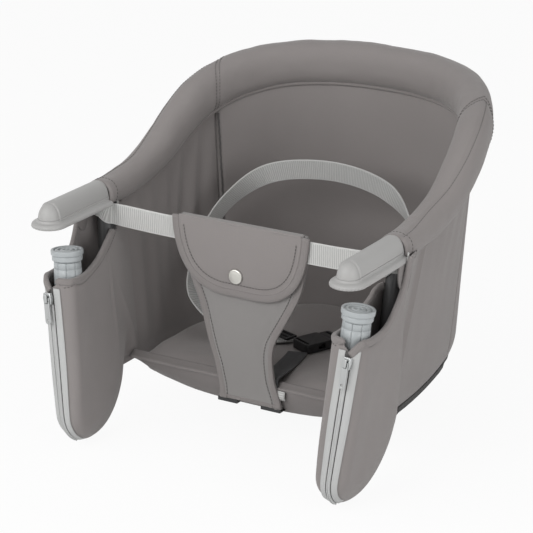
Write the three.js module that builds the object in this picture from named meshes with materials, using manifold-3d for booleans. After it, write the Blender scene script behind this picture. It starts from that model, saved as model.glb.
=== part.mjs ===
// A clip-on table seat for a baby: a padded bucket seat hung from a bent steel rail,
// two arm pads that lie on the table top and two hook arms whose twist clamps
// press up from below. Millimetres. +Z up, +X to the right seen from the front, the
// front faces -Y. The origin is on the table top, at the table's edge, on the centre line.
import * as THREE from 'three';
import { mergeVertices } from 'three/addons/utils/BufferGeometryUtils.js';
import Module from 'manifold-3d';

const wasm = await Module();
wasm.setup();

// ---------------------------------------------------------------- driving dimensions
const GAP = 0.35; // left between pieces that touch

// arm rail and pads
const ARM_X = 160; // centre line of each arm
const RAIL_R = 7;
const RAIL_WALL = 1.6;
const RAIL_Z = 11; // height of the straight arms above the table top
const PAD_FRONT = -89;
const PAD_REAR = 10;
const PAD_R = 17.5; // half width of the pad's flange
const DOME_R = 11;
const DOME_H = 17.3;
const FLANGE_H = 5;

// rear joint between rail, hook arm and front strap
const JOINT_Y = 21; // centre of the hook arm's top
const BARREL_R = 9.2;
const SOCKET_R = 11.6;
const SOCKET_BOTTOM = -0.3;
const POST_TOP = 3;
const BARREL_FRONT = PAD_REAR + GAP;
const BARREL_LENGTH = 26;
const RIVET_Y = 33;

// hook arm: a J of steel tube, leaning out and back as one piece
const LEAN = THREE.MathUtils.degToRad(4.5);
const TUBE_R = 9;
const TUBE_WALL = 1.5;
const REACH = 67; // post to clamp axis
const BEND_Z = -168; // where both legs meet the bend
const LEG_TOP = -94;

// twist clamp, heights along the clamp axis measured from the rail's joint
const FOOT_TOP = -34.4;
const FOOT_R = 15.6;
const FOOT_H = 5.4;
const CROWN_R = 14.6;
const CROWN_H = 5.6;
const GRIP_R = 13.4;
const GRIP_TOP = -45.8;
const GRIP_BOTTOM = -87.6;
const FLUTES = 9;
const SPINDLE_R = 5;
const SPINDLE_BOTTOM = -115;

// seat
const SEAT_MIDDLE = 147; // the seat's middle, front to back
const BASE_Z = -182;
const BASE_T = 6;
const CUSHION_Z = BASE_Z + BASE_T + GAP;
const CUSHION_T = 23;
const CUSHION_FRONT = 28.2; // front edge of cushion and base board
const WALL_T = 4;
const BACK_T = 9;
const WALL_FOOT_Z = BASE_Z + BASE_T + GAP;

// pockets round the hook arms
const POCKET_REAR = 33;
const POCKET_WALL = 2;
const POCKET_TOP = -25.5;
const POCKET_X = 161.5; // centre at the table top's level
const POCKET_LEAN = 0.096; // sideways run per unit of drop

// webbing
const STRAP_TOP = -2;
const STRAP_H = 22;
const STRAP_T = 1.5;
const LOOP_R = 10.8;
const BELT_W = 20;
const BELT_T = 1.5;
const PANEL_X = -4; // the crotch panel hangs a little to the left on the strap

const v3 = (x, y, z) => new THREE.Vector3(x, y, z);
const v2 = (x, y) => new THREE.Vector2(x, y);
const lerp = THREE.MathUtils.lerp;

// ---------------------------------------------------------------- solids and cuts

function toSolid(geometry) {
  const bare = geometry.clone();
  bare.deleteAttribute('normal');
  bare.deleteAttribute('uv');
  const merged = mergeVertices(bare, 1e-4);
  const vertProperties = Float32Array.from(merged.attributes.position.array);
  const triVerts = Uint32Array.from(merged.index.array);
  return new wasm.Manifold(new wasm.Mesh({ numProp: 3, vertProperties, triVerts }));
}

function fromSolid(solid) {
  const mesh = solid.getMesh();
  const geometry = new THREE.BufferGeometry();
  geometry.setAttribute('position', new THREE.BufferAttribute(mesh.vertProperties, 3));
  geometry.setIndex(new THREE.BufferAttribute(mesh.triVerts, 1));
  geometry.computeVertexNormals();
  return geometry;
}

function subtract(body, ...tools) {
  return fromSolid(tools.reduce((left, tool) => left.subtract(toSolid(tool)), toSolid(body)));
}

function unite(first, ...others) {
  return fromSolid(others.reduce((sum, other) => sum.add(toSolid(other)), toSolid(first)));
}

// skin of quads between rings of points, with closed or capped ends
function skin(rings, closeRings = false, otherDiagonal = -1) {
  const count = rings[0].length;
  const positions = rings.flat().flatMap((p) => [p.x, p.y, p.z]);
  const index = [];
  const rows = closeRings ? rings.length : rings.length - 1;
  for (let i = 0; i < rows; i += 1) {
    for (let j = 0; j < count; j += 1) {
      const a = i * count + j;
      const b = i * count + ((j + 1) % count);
      const c = ((i + 1) % rings.length) * count + j;
      const d = ((i + 1) % rings.length) * count + ((j + 1) % count);
      if (j === otherDiagonal) index.push(a, b, c, b, d, c);
      else index.push(a, b, d, a, d, c);
    }
  }
  if (!closeRings) {
    const last = (rings.length - 1) * count;
    for (let j = 1; j < count - 1; j += 1) {
      index.push(0, j + 1, j);
      index.push(last, last + j, last + j + 1);
    }
  }
  const geometry = new THREE.BufferGeometry();
  geometry.setAttribute('position', new THREE.Float32BufferAttribute(positions, 3));
  geometry.setIndex(index);
  return outward(geometry);
}

// turns a closed geometry's faces outward
function outward(geometry) {
  const p = geometry.attributes.position;
  const index = geometry.index.array;
  const [a, b, c] = [v3(0, 0, 0), v3(0, 0, 0), v3(0, 0, 0)];
  let volume = 0;
  for (let i = 0; i < index.length; i += 3) {
    a.fromBufferAttribute(p, index[i]);
    b.fromBufferAttribute(p, index[i + 1]);
    c.fromBufferAttribute(p, index[i + 2]);
    volume += a.dot(b.cross(c));
  }
  if (volume < 0) {
    for (let i = 0; i < index.length; i += 3) {
      const second = index[i + 1];
      index[i + 1] = index[i + 2];
      index[i + 2] = second;
    }
  }
  geometry.computeVertexNormals();
  return geometry;
}

// a sheet with thickness: front and back are grids of points of the same shape
function slab(front, back) {
  return skin(front.map((row, i) => [...row, ...[...back[i]].reverse()]));
}

function capsOf(outer, inner) {
  // a pipe with walls: outer and inner are lists of rings; both ends stay open
  const rings = outer.length;
  const count = outer[0].length;
  const positions = [...outer.flat(), ...inner.flat()].flatMap((p) => [p.x, p.y, p.z]);
  const at = (layer, i, j) => layer * rings * count + i * count + (j % count);
  const index = [];
  const quad = (a, b, c, d) => index.push(a, b, c, a, c, d);
  for (let j = 0; j < count; j += 1) {
    for (let i = 0; i < rings - 1; i += 1) {
      quad(at(0, i, j), at(0, i, j + 1), at(0, i + 1, j + 1), at(0, i + 1, j));
      quad(at(1, i, j), at(1, i + 1, j), at(1, i + 1, j + 1), at(1, i, j + 1));
    }
    quad(at(0, 0, j), at(1, 0, j), at(1, 0, j + 1), at(0, 0, j + 1));
    const e = rings - 1;
    quad(at(0, e, j), at(0, e, j + 1), at(1, e, j + 1), at(1, e, j));
  }
  const geometry = new THREE.BufferGeometry();
  geometry.setAttribute('position', new THREE.Float32BufferAttribute(positions, 3));
  geometry.setIndex(index);
  return outward(geometry);
}

function box(x0, x1, y0, y1, z0, z1) {
  const geometry = new THREE.BoxGeometry(x1 - x0, y1 - y0, z1 - z0);
  return geometry.translate((x0 + x1) / 2, (y0 + y1) / 2, (z0 + z1) / 2);
}

function post(radius, z0, z1, segments = 20) {
  const geometry = new THREE.CylinderGeometry(radius, radius, z1 - z0, segments);
  return geometry.rotateX(Math.PI / 2).translate(0, 0, (z0 + z1) / 2);
}

// a body of revolution about Z from [radius, z] pairs, closed on the axis
function turned(profile, segments = 24) {
  const points = profile.map(([r, z]) => v2(r, z));
  return outward(mergeVertices(stripped(new THREE.LatheGeometry(points, segments).rotateX(Math.PI / 2)), 1e-4));
}

function stripped(geometry) {
  geometry.deleteAttribute('normal');
  geometry.deleteAttribute('uv');
  return geometry;
}

function ringShape(outer, inner, segments) {
  const shape = new THREE.Shape();
  const hole = new THREE.Path();
  const around = (path, radius) => {
    path.moveTo(radius, 0);
    for (let i = 1; i < segments; i += 1) {
      const angle = (i / segments) * 2 * Math.PI;
      path.lineTo(radius * Math.cos(angle), radius * Math.sin(angle));
    }
    path.closePath();
  };
  around(shape, outer);
  if (inner > 0) {
    around(hole, inner);
    shape.holes.push(hole);
  }
  return shape;
}

function tube(curve, radius, wall, steps, segments) {
  const shape = ringShape(radius, radius - wall, segments);
  return new THREE.ExtrudeGeometry(shape, { steps, extrudePath: curve, curveSegments: segments });
}

// flat webbing along a route; each stop is [x, y, z, width direction]
function ribbon(stops, width, thickness, steps) {
  const route = new THREE.CatmullRomCurve3(stops.map(([x, y, z]) => v3(x, y, z)), false, 'centripetal');
  const rings = [];
  for (let i = 0; i <= steps; i += 1) {
    const t = i / steps;
    const along = route.getTangent(t);
    const place = t * (stops.length - 1);
    const k = Math.min(Math.floor(place), stops.length - 2);
    const across = v3(...stops[k][3]).lerp(v3(...stops[k + 1][3]), place - k);
    across.addScaledVector(along, -across.dot(along)).normalize();
    const face = along.clone().cross(across);
    const centre = route.getPoint(t);
    const corner = (a, b) => centre.clone().addScaledVector(across, a * width / 2).addScaledVector(face, b * thickness / 2);
    rings.push([corner(1, 1), corner(-1, 1), corner(-1, -1), corner(1, -1)]);
  }
  // both broad faces share their diagonals, so a twisted tape keeps its thickness
  return skin(rings, false, 2);
}

// ---------------------------------------------------------------- materials

const finish = (color, roughness, metalness) => ({ color, roughness, metalness });
const STEEL = finish(0xb9bcbd, 0.35, 1);
const RUBBER = finish(0xb9b7b5, 0.6, 0);
const GRIP = finish(0xb4babd, 0.5, 0);
const FABRIC = finish(0x8c8783, 0.85, 0);
const LINING = finish(0x6a6764, 0.9, 0);
const WEBBING = finish(0xc3c4c3, 0.8, 0);
const BLACK = finish(0x1d1d1e, 0.5, 0);
const TAPE = finish(0xb4b5b4, 0.85, 0);
const BRIGHT = finish(0xd9dad2, 0.25, 1);
const DARK_CLOTH = finish(0x3a3a3a, 0.9, 0);

const seat = new THREE.Group();

function add(parent, name, geometry, material) {
  const mesh = new THREE.Mesh(geometry, new THREE.MeshStandardMaterial(material));
  mesh.name = name;
  parent.add(mesh);
  return mesh;
}

// ---------------------------------------------------------------- rail and rim

const RAIL_STOPS = [
  [0, 288, 94],
  [62, 281, 92.5],
  [108, 256, 89],
  [139, 216, 80],
  [153, 180, 67],
  [159, 146, 48],
  [ARM_X, 110, 28],
  [ARM_X, 74, 16.5],
  [ARM_X, 40, RAIL_Z + 0.6],
  [ARM_X, 12, RAIL_Z],
  [ARM_X, -72, RAIL_Z],
];

function railCurve() {
  const right = RAIL_STOPS.map(([x, y, z]) => v3(x, y, z));
  const left = RAIL_STOPS.slice(1).map(([x, y, z]) => v3(-x, y, z)).reverse();
  return new THREE.CatmullRomCurve3([...left, ...right], false, 'centripetal');
}

const rail = railCurve();

// the lean of the hook arms, about the joint
function leanMatrix(side) {
  const lean = new THREE.Matrix4().makeRotationFromEuler(new THREE.Euler(-LEAN, side * LEAN, 0, 'YXZ'));
  return lean.setPosition(0, JOINT_Y, 0);
}

// the rail's parameter on the right side (over one half) where it passes a given y
function railAtY(y) {
  let low = 0.5;
  let high = 1;
  for (let i = 0; i < 40; i += 1) {
    const middle = (low + high) / 2;
    if (rail.getPointAt(middle).y > y) low = middle;
    else high = middle;
  }
  return low;
}

// share 0 at the back centre, 1 where the rail leaves the rim behind the pad
const RIM_FRONT = railAtY(PAD_REAR + 0.6);

function rimFrame(u) {
  const centre = rail.getPointAt(u);
  const along = rail.getTangentAt(u);
  const side = v3(0, 0, 1).cross(along).normalize();
  const up = along.clone().cross(side).normalize();
  const share = Math.abs(u - 0.5) / (RIM_FRONT - 0.5);
  return { centre, side, up, share };
}

function rimSection(share) {
  const grow = THREE.MathUtils.smoothstep(1 - share, 0, 0.55);
  return { halfWidth: lerp(14.6, 17, grow), halfHeight: lerp(13, 22, grow), drop: lerp(1.6, 0, grow) };
}

const JOINT_SHARE = 0.77; // from here forward the cover has room for the joint inside it

function rimCover() {
  const stations = 30;
  const around = 10;
  const outer = [];
  const inner = [];
  for (let i = 0; i <= stations; i += 1) {
    const u = lerp(1 - RIM_FRONT, RIM_FRONT, i / stations);
    const { centre, side, up, share } = rimFrame(u);
    const { halfWidth, halfHeight, drop } = rimSection(share);
    const nearJoint = share > JOINT_SHARE;
    const room = nearJoint ? 12.2 : RAIL_R + 1.2;
    const ring = (a, b, fall) => Array.from({ length: around }, (_, j) => {
      const angle = (j / around) * 2 * Math.PI;
      return centre.clone()
        .addScaledVector(side, a * Math.cos(angle))
        .addScaledVector(up, b * Math.sin(angle) - fall);
    });
    outer.push(ring(halfWidth, halfHeight, drop));
    inner.push(ring(room, nearJoint ? 10.2 : room, 0));
  }
  const shell = capsOf(outer, inner);
  const notch = (s) => box(...[s * 135, s * 185].sort((a, b) => a - b), -5, 34, -40, 0.2);
  const well = (s) => post(SOCKET_R + 0.6, -10, RAIL_Z, 20).applyMatrix4(leanMatrix(s)).translate(s * ARM_X, 0, 0);
  return subtract(shell, notch(1), notch(-1), well(1), well(-1));
}

// ---------------------------------------------------------------- arm pads

function padOutline(radius, front, rear) {
  const shape = new THREE.Shape();
  shape.moveTo(-radius, rear);
  shape.lineTo(-radius, front + radius);
  shape.absarc(0, front + radius, radius, Math.PI, 2 * Math.PI, false);
  shape.lineTo(radius, rear);
  shape.closePath();
  return shape;
}

function armPad() {
  const flange = new THREE.ExtrudeGeometry(padOutline(PAD_R - 1, PAD_FRONT + 1, PAD_REAR), {
    depth: FLANGE_H - 2,
    bevelEnabled: true,
    bevelThickness: 1,
    bevelSize: 1,
    bevelSegments: 1,
    curveSegments: 10,
  });
  flange.translate(0, 0, 1);
  const trimRear = box(-40, 40, PAD_REAR, PAD_REAR + 10, -5, 40);
  const domeFront = PAD_FRONT + PAD_R;
  const profile = [];
  for (let i = 0; i <= 6; i += 1) {
    const angle = (i / 6) * Math.PI * 0.5;
    profile.push(v2(DOME_R * Math.cos(angle), DOME_H * Math.sin(angle)));
  }
  const half = profile.map((p) => v2(p.x, p.y));
  const section = new THREE.Shape([
    v2(-DOME_R, -FLANGE_H / 2),
    ...half.map((p) => v2(-p.x, p.y)),
    ...half.slice(0, -1).reverse(),
    v2(DOME_R, -FLANGE_H / 2),
  ]);
  const barrel = new THREE.ExtrudeGeometry(section, { depth: PAD_REAR - domeFront, bevelEnabled: false });
  barrel.rotateX(Math.PI / 2).translate(0, PAD_REAR, FLANGE_H);
  const nose = turned([[0, -FLANGE_H / 2], [DOME_R, -FLANGE_H / 2], ...half.map((p) => [p.x, p.y])], 16);
  nose.translate(0, domeFront, FLANGE_H);
  const body = unite(flange, barrel, nose);
  const bore = post(RAIL_R + 0.4, 0, 84, 16).rotateX(Math.PI / 2).translate(0, PAD_REAR + 1, RAIL_Z);
  return subtract(body, trimRear, bore);
}

// ---------------------------------------------------------------- hook arm and clamp

// everything on a hook arm hangs in this leaning frame
function hookFrame(side) {
  const frame = new THREE.Group();
  frame.position.set(side * ARM_X, JOINT_Y, 0);
  frame.rotation.set(-LEAN, side * LEAN, 0, 'YXZ');
  seat.add(frame);
  return frame;
}

function armJoint(side) {
  // built upright in the seat's frame, with the socket leaning like the hook arm
  const lean = leanMatrix(side);
  const barrel = post(BARREL_R, 0, BARREL_LENGTH, 16).rotateX(-Math.PI / 2).translate(0, BARREL_FRONT, RAIL_Z);
  const socket = turned([
    [0, SOCKET_BOTTOM],
    [SOCKET_R, SOCKET_BOTTOM],
    [SOCKET_R, 4],
    [SOCKET_R - 4, 9],
    [0, 9],
  ], 16).applyMatrix4(lean);
  const bore = post(TUBE_R + GAP, SOCKET_BOTTOM - 5, POST_TOP + GAP, 16).applyMatrix4(lean);
  const tunnel = post(RAIL_R + 0.6, -5, 45, 16).rotateX(-Math.PI / 2).translate(0, BARREL_FRONT, RAIL_Z);
  const hole = post(2.3, -20, 20, 10).rotateY(Math.PI / 2).translate(0, RIVET_Y, RAIL_Z);
  const clearOfPad = box(-20, 20, -20, PAD_REAR + GAP, -5, 30);
  return subtract(unite(barrel, socket), bore, tunnel, hole, clearOfPad);
}

function rivet() {
  const [under, crown] = [BARREL_R + GAP, BARREL_R + GAP + 1];
  const head = [[0, -crown], [3.4, -crown], [4, -under], [2, -under], [2, under], [4, under], [3.4, crown], [0, crown]];
  return turned(head, 12).rotateY(Math.PI / 2);
}

function railTube() {
  const straight = tube(rail, RAIL_R, RAIL_WALL, 44, 8);
  const hole = (side) => post(2.3, -20, 20, 10).rotateY(Math.PI / 2).translate(side * ARM_X, RIVET_Y, RAIL_Z);
  return subtract(straight, hole(1), hole(-1));
}

function hookTube() {
  const half = REACH / 2;
  const bend = [];
  for (let i = 0; i <= 9; i += 1) {
    const angle = (i / 9) * Math.PI;
    bend.push(v3(0, -half + half * Math.cos(angle), BEND_Z - half * Math.sin(angle)));
  }
  const rings = [];
  const stops = [v3(0, 0, POST_TOP), ...bend, v3(0, -REACH, LEG_TOP)];
  stops.forEach((stop, i) => {
    const before = stops[Math.max(i - 1, 0)];
    const after = stops[Math.min(i + 1, stops.length - 1)];
    let along = after.clone().sub(before).normalize();
    if (i === 1) along = v3(0, 0, -1);
    if (i === stops.length - 2) along = v3(0, 0, 1);
    const across = v3(1, 0, 0);
    const normal = along.clone().cross(across);
    rings.push((radius) => Array.from({ length: 10 }, (_, j) => {
      const angle = (j / 10) * 2 * Math.PI;
      return stop.clone()
        .addScaledVector(across, radius * Math.cos(angle))
        .addScaledVector(normal, radius * Math.sin(angle));
    }));
  });
  return capsOf(rings.map((ring) => ring(TUBE_R)), rings.map((ring) => ring(TUBE_R - TUBE_WALL)));
}

// bush pressed into the front leg: it carries the grip and lets the spindle through
function clampBush() {
  const bore = SPINDLE_R + 0.5;
  return turned([
    [bore, LEG_TOP - 24],
    [TUBE_R - TUBE_WALL - 0.6, LEG_TOP - 24],
    [TUBE_R - TUBE_WALL - 0.6, LEG_TOP + GAP],
    [12, LEG_TOP + GAP],
    [12.6, LEG_TOP + 1],
    [12.6, GRIP_BOTTOM - GAP],
    [7.6, GRIP_BOTTOM - GAP],
    [7.6, GRIP_BOTTOM + 9],
    [bore, GRIP_BOTTOM + 9],
    [bore, LEG_TOP - 24],
  ], 16).translate(0, -REACH, 0);
}

function grip() {
  const shape = new THREE.Shape();
  const steps = FLUTES * 4;
  for (let i = 0; i < steps; i += 1) {
    const angle = (i / steps) * 2 * Math.PI;
    const radius = i % 4 === 0 ? GRIP_R - 1 : GRIP_R;
    const point = v2(radius * Math.cos(angle), radius * Math.sin(angle));
    if (i === 0) shape.moveTo(point.x, point.y);
    else shape.lineTo(point.x, point.y);
  }
  shape.closePath();
  const body = new THREE.ExtrudeGeometry(shape, { depth: GRIP_TOP - GRIP_BOTTOM, bevelEnabled: false });
  body.translate(0, 0, GRIP_BOTTOM);
  const thread = post(SPINDLE_R + GAP, GRIP_BOTTOM - 1, GRIP_TOP + 1, 16);
  const counterbore = post(8, GRIP_BOTTOM - 1, GRIP_BOTTOM + 9.6, 16);
  return subtract(body, thread, counterbore).translate(0, -REACH, 0);
}

function foot() {
  const crownTop = FOOT_TOP - FOOT_H;
  const crownBottom = crownTop - CROWN_H;
  return turned([
    [0, crownBottom],
    [CROWN_R - 0.6, crownBottom],
    [CROWN_R, crownBottom + 0.6],
    [CROWN_R, crownTop - 0.4],
    [FOOT_R - 0.4, crownTop],
    [FOOT_R, crownTop + 0.8],
    [FOOT_R, FOOT_TOP - 0.8],
    [FOOT_R - 1, FOOT_TOP],
    [0, FOOT_TOP],
  ], 22).translate(0, -REACH, 0);
}

function spindle() {
  const top = FOOT_TOP - FOOT_H - CROWN_H - GAP;
  return turned([
    [0, SPINDLE_BOTTOM],
    [SPINDLE_R - 1, SPINDLE_BOTTOM],
    [SPINDLE_R, SPINDLE_BOTTOM + 1],
    [SPINDLE_R, top],
    [0, top],
  ], 16).translate(0, -REACH, 0);
}

// ---------------------------------------------------------------- pocket and zip

const pocketX = (z) => POCKET_X + POCKET_LEAN * z;
const pocketHalf = (z) => lerp(17, 14.8, THREE.MathUtils.clamp((z + 60) / -160, 0, 1));

// the pocket seen from the side: y forward is negative, inset shrinks it all round
function pocketOutline(inset, openTop) {
  const shape = new THREE.Shape();
  const front = inset;
  shape.moveTo(-71 + front, -62);
  shape.lineTo(-79 + front, -186);
  shape.bezierCurveTo(-80 + front, -206, -62, -222 + inset, -36, -222 + inset);
  shape.bezierCurveTo(-10, -222 + inset, 12, -206 + inset, 22 - inset, -180);
  shape.bezierCurveTo(28 - inset, -162, POCKET_REAR - inset, -134, POCKET_REAR - inset, -104);
  shape.lineTo(POCKET_REAR - inset, openTop ? 20 : POCKET_TOP);
  if (openTop) {
    shape.lineTo(-71 + front, 20);
  } else {
    shape.lineTo(5, POCKET_TOP);
    shape.bezierCurveTo(-4, -38, -22, -52, -50, -56);
    shape.lineTo(-71, -60);
  }
  shape.closePath();
  return shape;
}

function pocketBlock(inset, openTop, side) {
  const block = new THREE.ExtrudeGeometry(pocketOutline(inset, openTop), {
    depth: 2,
    bevelEnabled: false,
    curveSegments: 6,
  });
  // the outline lies in y-z; its depth becomes x, from -1 to 1, then takes the pocket's width
  const p = block.attributes.position;
  for (let i = 0; i < p.count; i += 1) {
    const [y, z, depth] = [p.getX(i), p.getY(i), p.getZ(i) - 1];
    const half = pocketHalf(z) - inset;
    p.setXYZ(i, side * (pocketX(z) + depth * half), y, z);
  }
  return outward(mergeVertices(stripped(block), 1e-4));
}

function pocket(side) {
  return subtract(pocketBlock(0, false, side), pocketBlock(POCKET_WALL, true, side));
}

// zip on the pocket's front edge: local z runs down the tape, local y points out of it
const ZIP_TOP = -62;
const ZIP_LENGTH = 128;
const ZIP_X = 160; // centre at the zip's top, a little outside the pocket's middle
const ZIP_LEAN = 0.13; // sideways run per unit of drop
const ZIP_SLOPE = 8 / 132; // forward run per unit of drop, as the pocket's front edge

function zipFrame(side) {
  const frame = new THREE.Group();
  frame.position.set(side * ZIP_X, -71.3 - GAP, ZIP_TOP);
  frame.rotation.set(-Math.atan(ZIP_SLOPE), side * Math.atan(ZIP_LEAN), 0, 'YXZ');
  seat.add(frame);
  return frame;
}

const ZIP_TAPE_W = 21;
const CHAIN_W = 5;

function zipTape() {
  return box(-ZIP_TAPE_W / 2, ZIP_TAPE_W / 2, -1, 0, -ZIP_LENGTH, 0);
}

function zipChain() {
  return box(-CHAIN_W / 2, CHAIN_W / 2, -2.6, -1 - GAP, -ZIP_LENGTH + 4, -4);
}

function zipSlider() {
  const body = new THREE.ExtrudeGeometry(new THREE.Shape([
    v2(-4, -6), v2(4, -6), v2(4.6, 0), v2(3.4, 5), v2(-3.4, 5), v2(-4.6, 0),
  ]), { depth: 4.2, bevelEnabled: false });
  body.rotateX(Math.PI / 2).translate(0, -1 - GAP, -9);
  const channel = box(-CHAIN_W / 2 - 0.4, CHAIN_W / 2 + 0.4, -3, 0, -20, 0);
  const bridge = subtract(box(-1.6, 1.6, -8.6, -5.5, -13, -5), box(-2, 2, -7.5, -5.5, -11.4, -6.6));
  return subtract(unite(body, bridge), channel);
}

function zipPull() {
  const shape = new THREE.Shape();
  shape.moveTo(-2.8, 0.55);
  shape.lineTo(-3.2, -21);
  shape.absarc(0, -22, 3.2, Math.PI, 2 * Math.PI, false);
  shape.lineTo(2.8, 0.55);
  shape.closePath();
  const hole = new THREE.Path();
  hole.absarc(0, -21.5, 1.5, 0, 2 * Math.PI, true);
  const eye = new THREE.Path([v2(-1.95, -5.2), v2(1.95, -5.2), v2(1.95, -0.55), v2(-1.95, -0.55)]);
  shape.holes.push(hole, eye);
  const plate = new THREE.ExtrudeGeometry(shape, { depth: 1.1, bevelEnabled: false, curveSegments: 8 });
  return plate.rotateX(Math.PI / 2);
}

// ---------------------------------------------------------------- seat shell

function baseBoard() {
  const ring = (z) => seatRing(z, 0, 0);
  return skin([ring(BASE_Z), ring(BASE_Z + BASE_T)]);
}

function cushion() {
  const levels = [[5, 0], [1.8, 5], [1.8, CUSHION_T - 4], [4, CUSHION_T]];
  return skin(levels.map(([inset, h]) => seatRing(CUSHION_Z + h, inset, 1)));
}

const WALL_FRONT = 34.6;
// where the walls stand on the base board, from the back centre to the right front
const WALL_FEET = [
  [0, 268],
  [52, 265],
  [90, 248],
  [112, 214],
  [123, 165],
  [130, 110],
  [133, 60],
  [136, WALL_FRONT],
];

// outline of the seat at one height: it follows the walls, then runs straight across the front;
// within is 1 for what lies inside the walls and 0 for what lies under them
function seatRing(z, inset, within) {
  const ring = [];
  const steps = 28;
  for (let i = 0; i <= steps; i += 1) {
    const s = lerp(-1, 1, i / steps);
    const v = Math.max(0, (z - WALL_FOOT_Z) / (rimFoot(s).z - WALL_FOOT_Z));
    const thickness = Math.abs(s) > SEAM + 0.04 ? WALL_T : BACK_T;
    const point = wallPoint(s, v, inset + thickness * within);
    ring.push(v3(point.x, point.y, z));
  }
  const corner = ring[steps].x;
  const front = CUSHION_FRONT + inset * 0.4;
  ring.push(v3(corner, front + 5, z));
  ring.push(v3(corner - 9, front, z));
  ring.push(v3(9 - corner, front, z));
  ring.push(v3(-corner, front + 5, z));
  return ring;
}

function rimFoot(s) {
  const frame = rimFrame(lerp(0.5, railAtY(WALL_FRONT), Math.abs(s)));
  const { halfHeight, drop } = rimSection(frame.share);
  return frame.centre.clone().addScaledVector(v3(0, 0, 1), -(halfHeight + drop) / frame.up.z - 1.5);
}

// s runs from -1 (left front) over 0 (back centre) to 1 (right front); v from foot to rim
function wallPoint(s, v, inset) {
  const feet = new THREE.CatmullRomCurve3(WALL_FEET.map(([x, y]) => v3(x, y, WALL_FOOT_Z)), false, 'centripetal');
  const share = Math.abs(s);
  const side = s < 0 ? -1 : 1;
  const foot = feet.getPoint(share);
  const top = rimFoot(share);
  const ahead = feet.getTangent(Math.min(share, 0.999));
  const out = v3(-ahead.y, ahead.x, 0).normalize();
  if (out.dot(v3(foot.x, foot.y - SEAT_MIDDLE, 0)) < 0) out.negate();
  const tuck = 9 * (1 - Math.min(v / 0.13, 1)) ** 2;
  const point = foot.clone().addScaledVector(out, 9).lerp(top, v).addScaledVector(out, -tuck - inset);
  point.x *= side;
  return point;
}

function wall(s0, s1, columns, thickness) {
  const heights = [0, 0.05, 0.12, 0.4, 0.7, 1];
  const grid = (inset) => Array.from({ length: columns + 1 }, (_, i) => {
    const s = lerp(s0, s1, i / columns);
    return heights.map((v) => wallPoint(s, v, inset));
  });
  return slab(grid(0), grid(thickness));
}

const SEAM = 0.56; // where back and side panels meet
const SEAM_GAP = 0.002;

// ---------------------------------------------------------------- straps and harness

const STRAP_Y = JOINT_Y - 1.2;

function frontStrap() {
  const [x, y] = [ARM_X - 1, STRAP_Y];
  const outer = LOOP_R + STRAP_T;
  const shape = new THREE.Shape();
  const half = Math.asin(STRAP_T / 2 / outer);
  shape.moveTo(-x + outer, y - STRAP_T / 2);
  shape.lineTo(x - outer, y - STRAP_T / 2);
  shape.absarc(x, y, outer, Math.PI + half, 3 * Math.PI - half, false);
  shape.lineTo(-x + outer, y + STRAP_T / 2);
  shape.absarc(-x, y, outer, half, 2 * Math.PI - half, false);
  shape.closePath();
  for (const side of [-1, 1]) {
    const hole = new THREE.Path();
    hole.absarc(side * x, y, LOOP_R, 0, 2 * Math.PI, true);
    shape.holes.push(hole);
  }
  const strap = new THREE.ExtrudeGeometry(shape, { depth: STRAP_H, bevelEnabled: false, curveSegments: 10 });
  return strap.translate(0, 0, STRAP_TOP - STRAP_H);
}

const STRAP_FRONT = STRAP_Y - STRAP_T / 2;

const PANEL_LOW = -178.5;
const PANEL_Y = STRAP_FRONT + STRAP_T + GAP;
const FLAP_T = 2.4;
const FLAP_FACE = STRAP_FRONT - GAP - FLAP_T;
const WRAP_TOP = 2; // the panel is folded over the strap up to here
const FLAP_HINGE = WRAP_TOP - FLAP_T / 2;

// half widths of the crotch panel and the place of its front face, from top to bottom
const PANEL_STOPS = [
  [-1, 70, PANEL_Y],
  [-26, 68, PANEL_Y],
  [-56, 61, PANEL_Y + 0.3],
  [-86, 49, PANEL_Y + 0.7],
  [-114, 39, PANEL_Y + 1.2],
  [-136, 35, PANEL_Y + 1.6],
  [-156, 34, PANEL_Y + 1.9],
  [PANEL_LOW, 36, PANEL_Y + 2],
];
const PANEL_T = 2.6;

const panelCentre = (z) => lerp(PANEL_X, -1.5, THREE.MathUtils.clamp(-z / 178, 0, 1));

function crotchPanel() {
  const columns = [-1, -0.5, 0, 0.5, 1];
  const grid = (back) => PANEL_STOPS.map(([z, half, y]) => columns.map((c) => (
    v3(panelCentre(z) + c * half, y + back, z)
  )));
  const hanging = slab(grid(0), grid(PANEL_T));
  const over = box(-69, 69, STRAP_FRONT, PANEL_Y + PANEL_T, STRAP_TOP + GAP, WRAP_TOP).translate(PANEL_X, 0, 0);
  return unite(hanging, over);
}

const FLAP_DROP = 69;

function crotchFlap() {
  const shape = new THREE.Shape();
  shape.moveTo(-70, FLAP_HINGE);
  shape.bezierCurveTo(-68, -36, -58, -FLAP_DROP, -16, -FLAP_DROP);
  shape.lineTo(16, -FLAP_DROP);
  shape.bezierCurveTo(58, -FLAP_DROP, 68, -36, 70, FLAP_HINGE);
  shape.closePath();
  const flap = new THREE.ExtrudeGeometry(shape, { depth: FLAP_T, bevelEnabled: false, curveSegments: 8 });
  flap.rotateX(Math.PI / 2).translate(0, FLAP_FACE + FLAP_T, 0);
  const fold = post(FLAP_T / 2, -70, 70, 12).rotateY(Math.PI / 2).translate(0, FLAP_FACE + FLAP_T / 2, FLAP_HINGE);
  return unite(flap, fold).translate(PANEL_X, 0, 0);
}

const STUD_Z = -50;
const STUD_X = PANEL_X - 6;

function studCap() {
  const cap = turned([[0, 0], [6.4, 0], [6.4, 0.5], [5, 1.7], [2.4, 2.1], [0, 2.1]], 20);
  return cap.rotateX(Math.PI / 2).translate(STUD_X, FLAP_FACE - GAP, STUD_Z);
}

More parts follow.
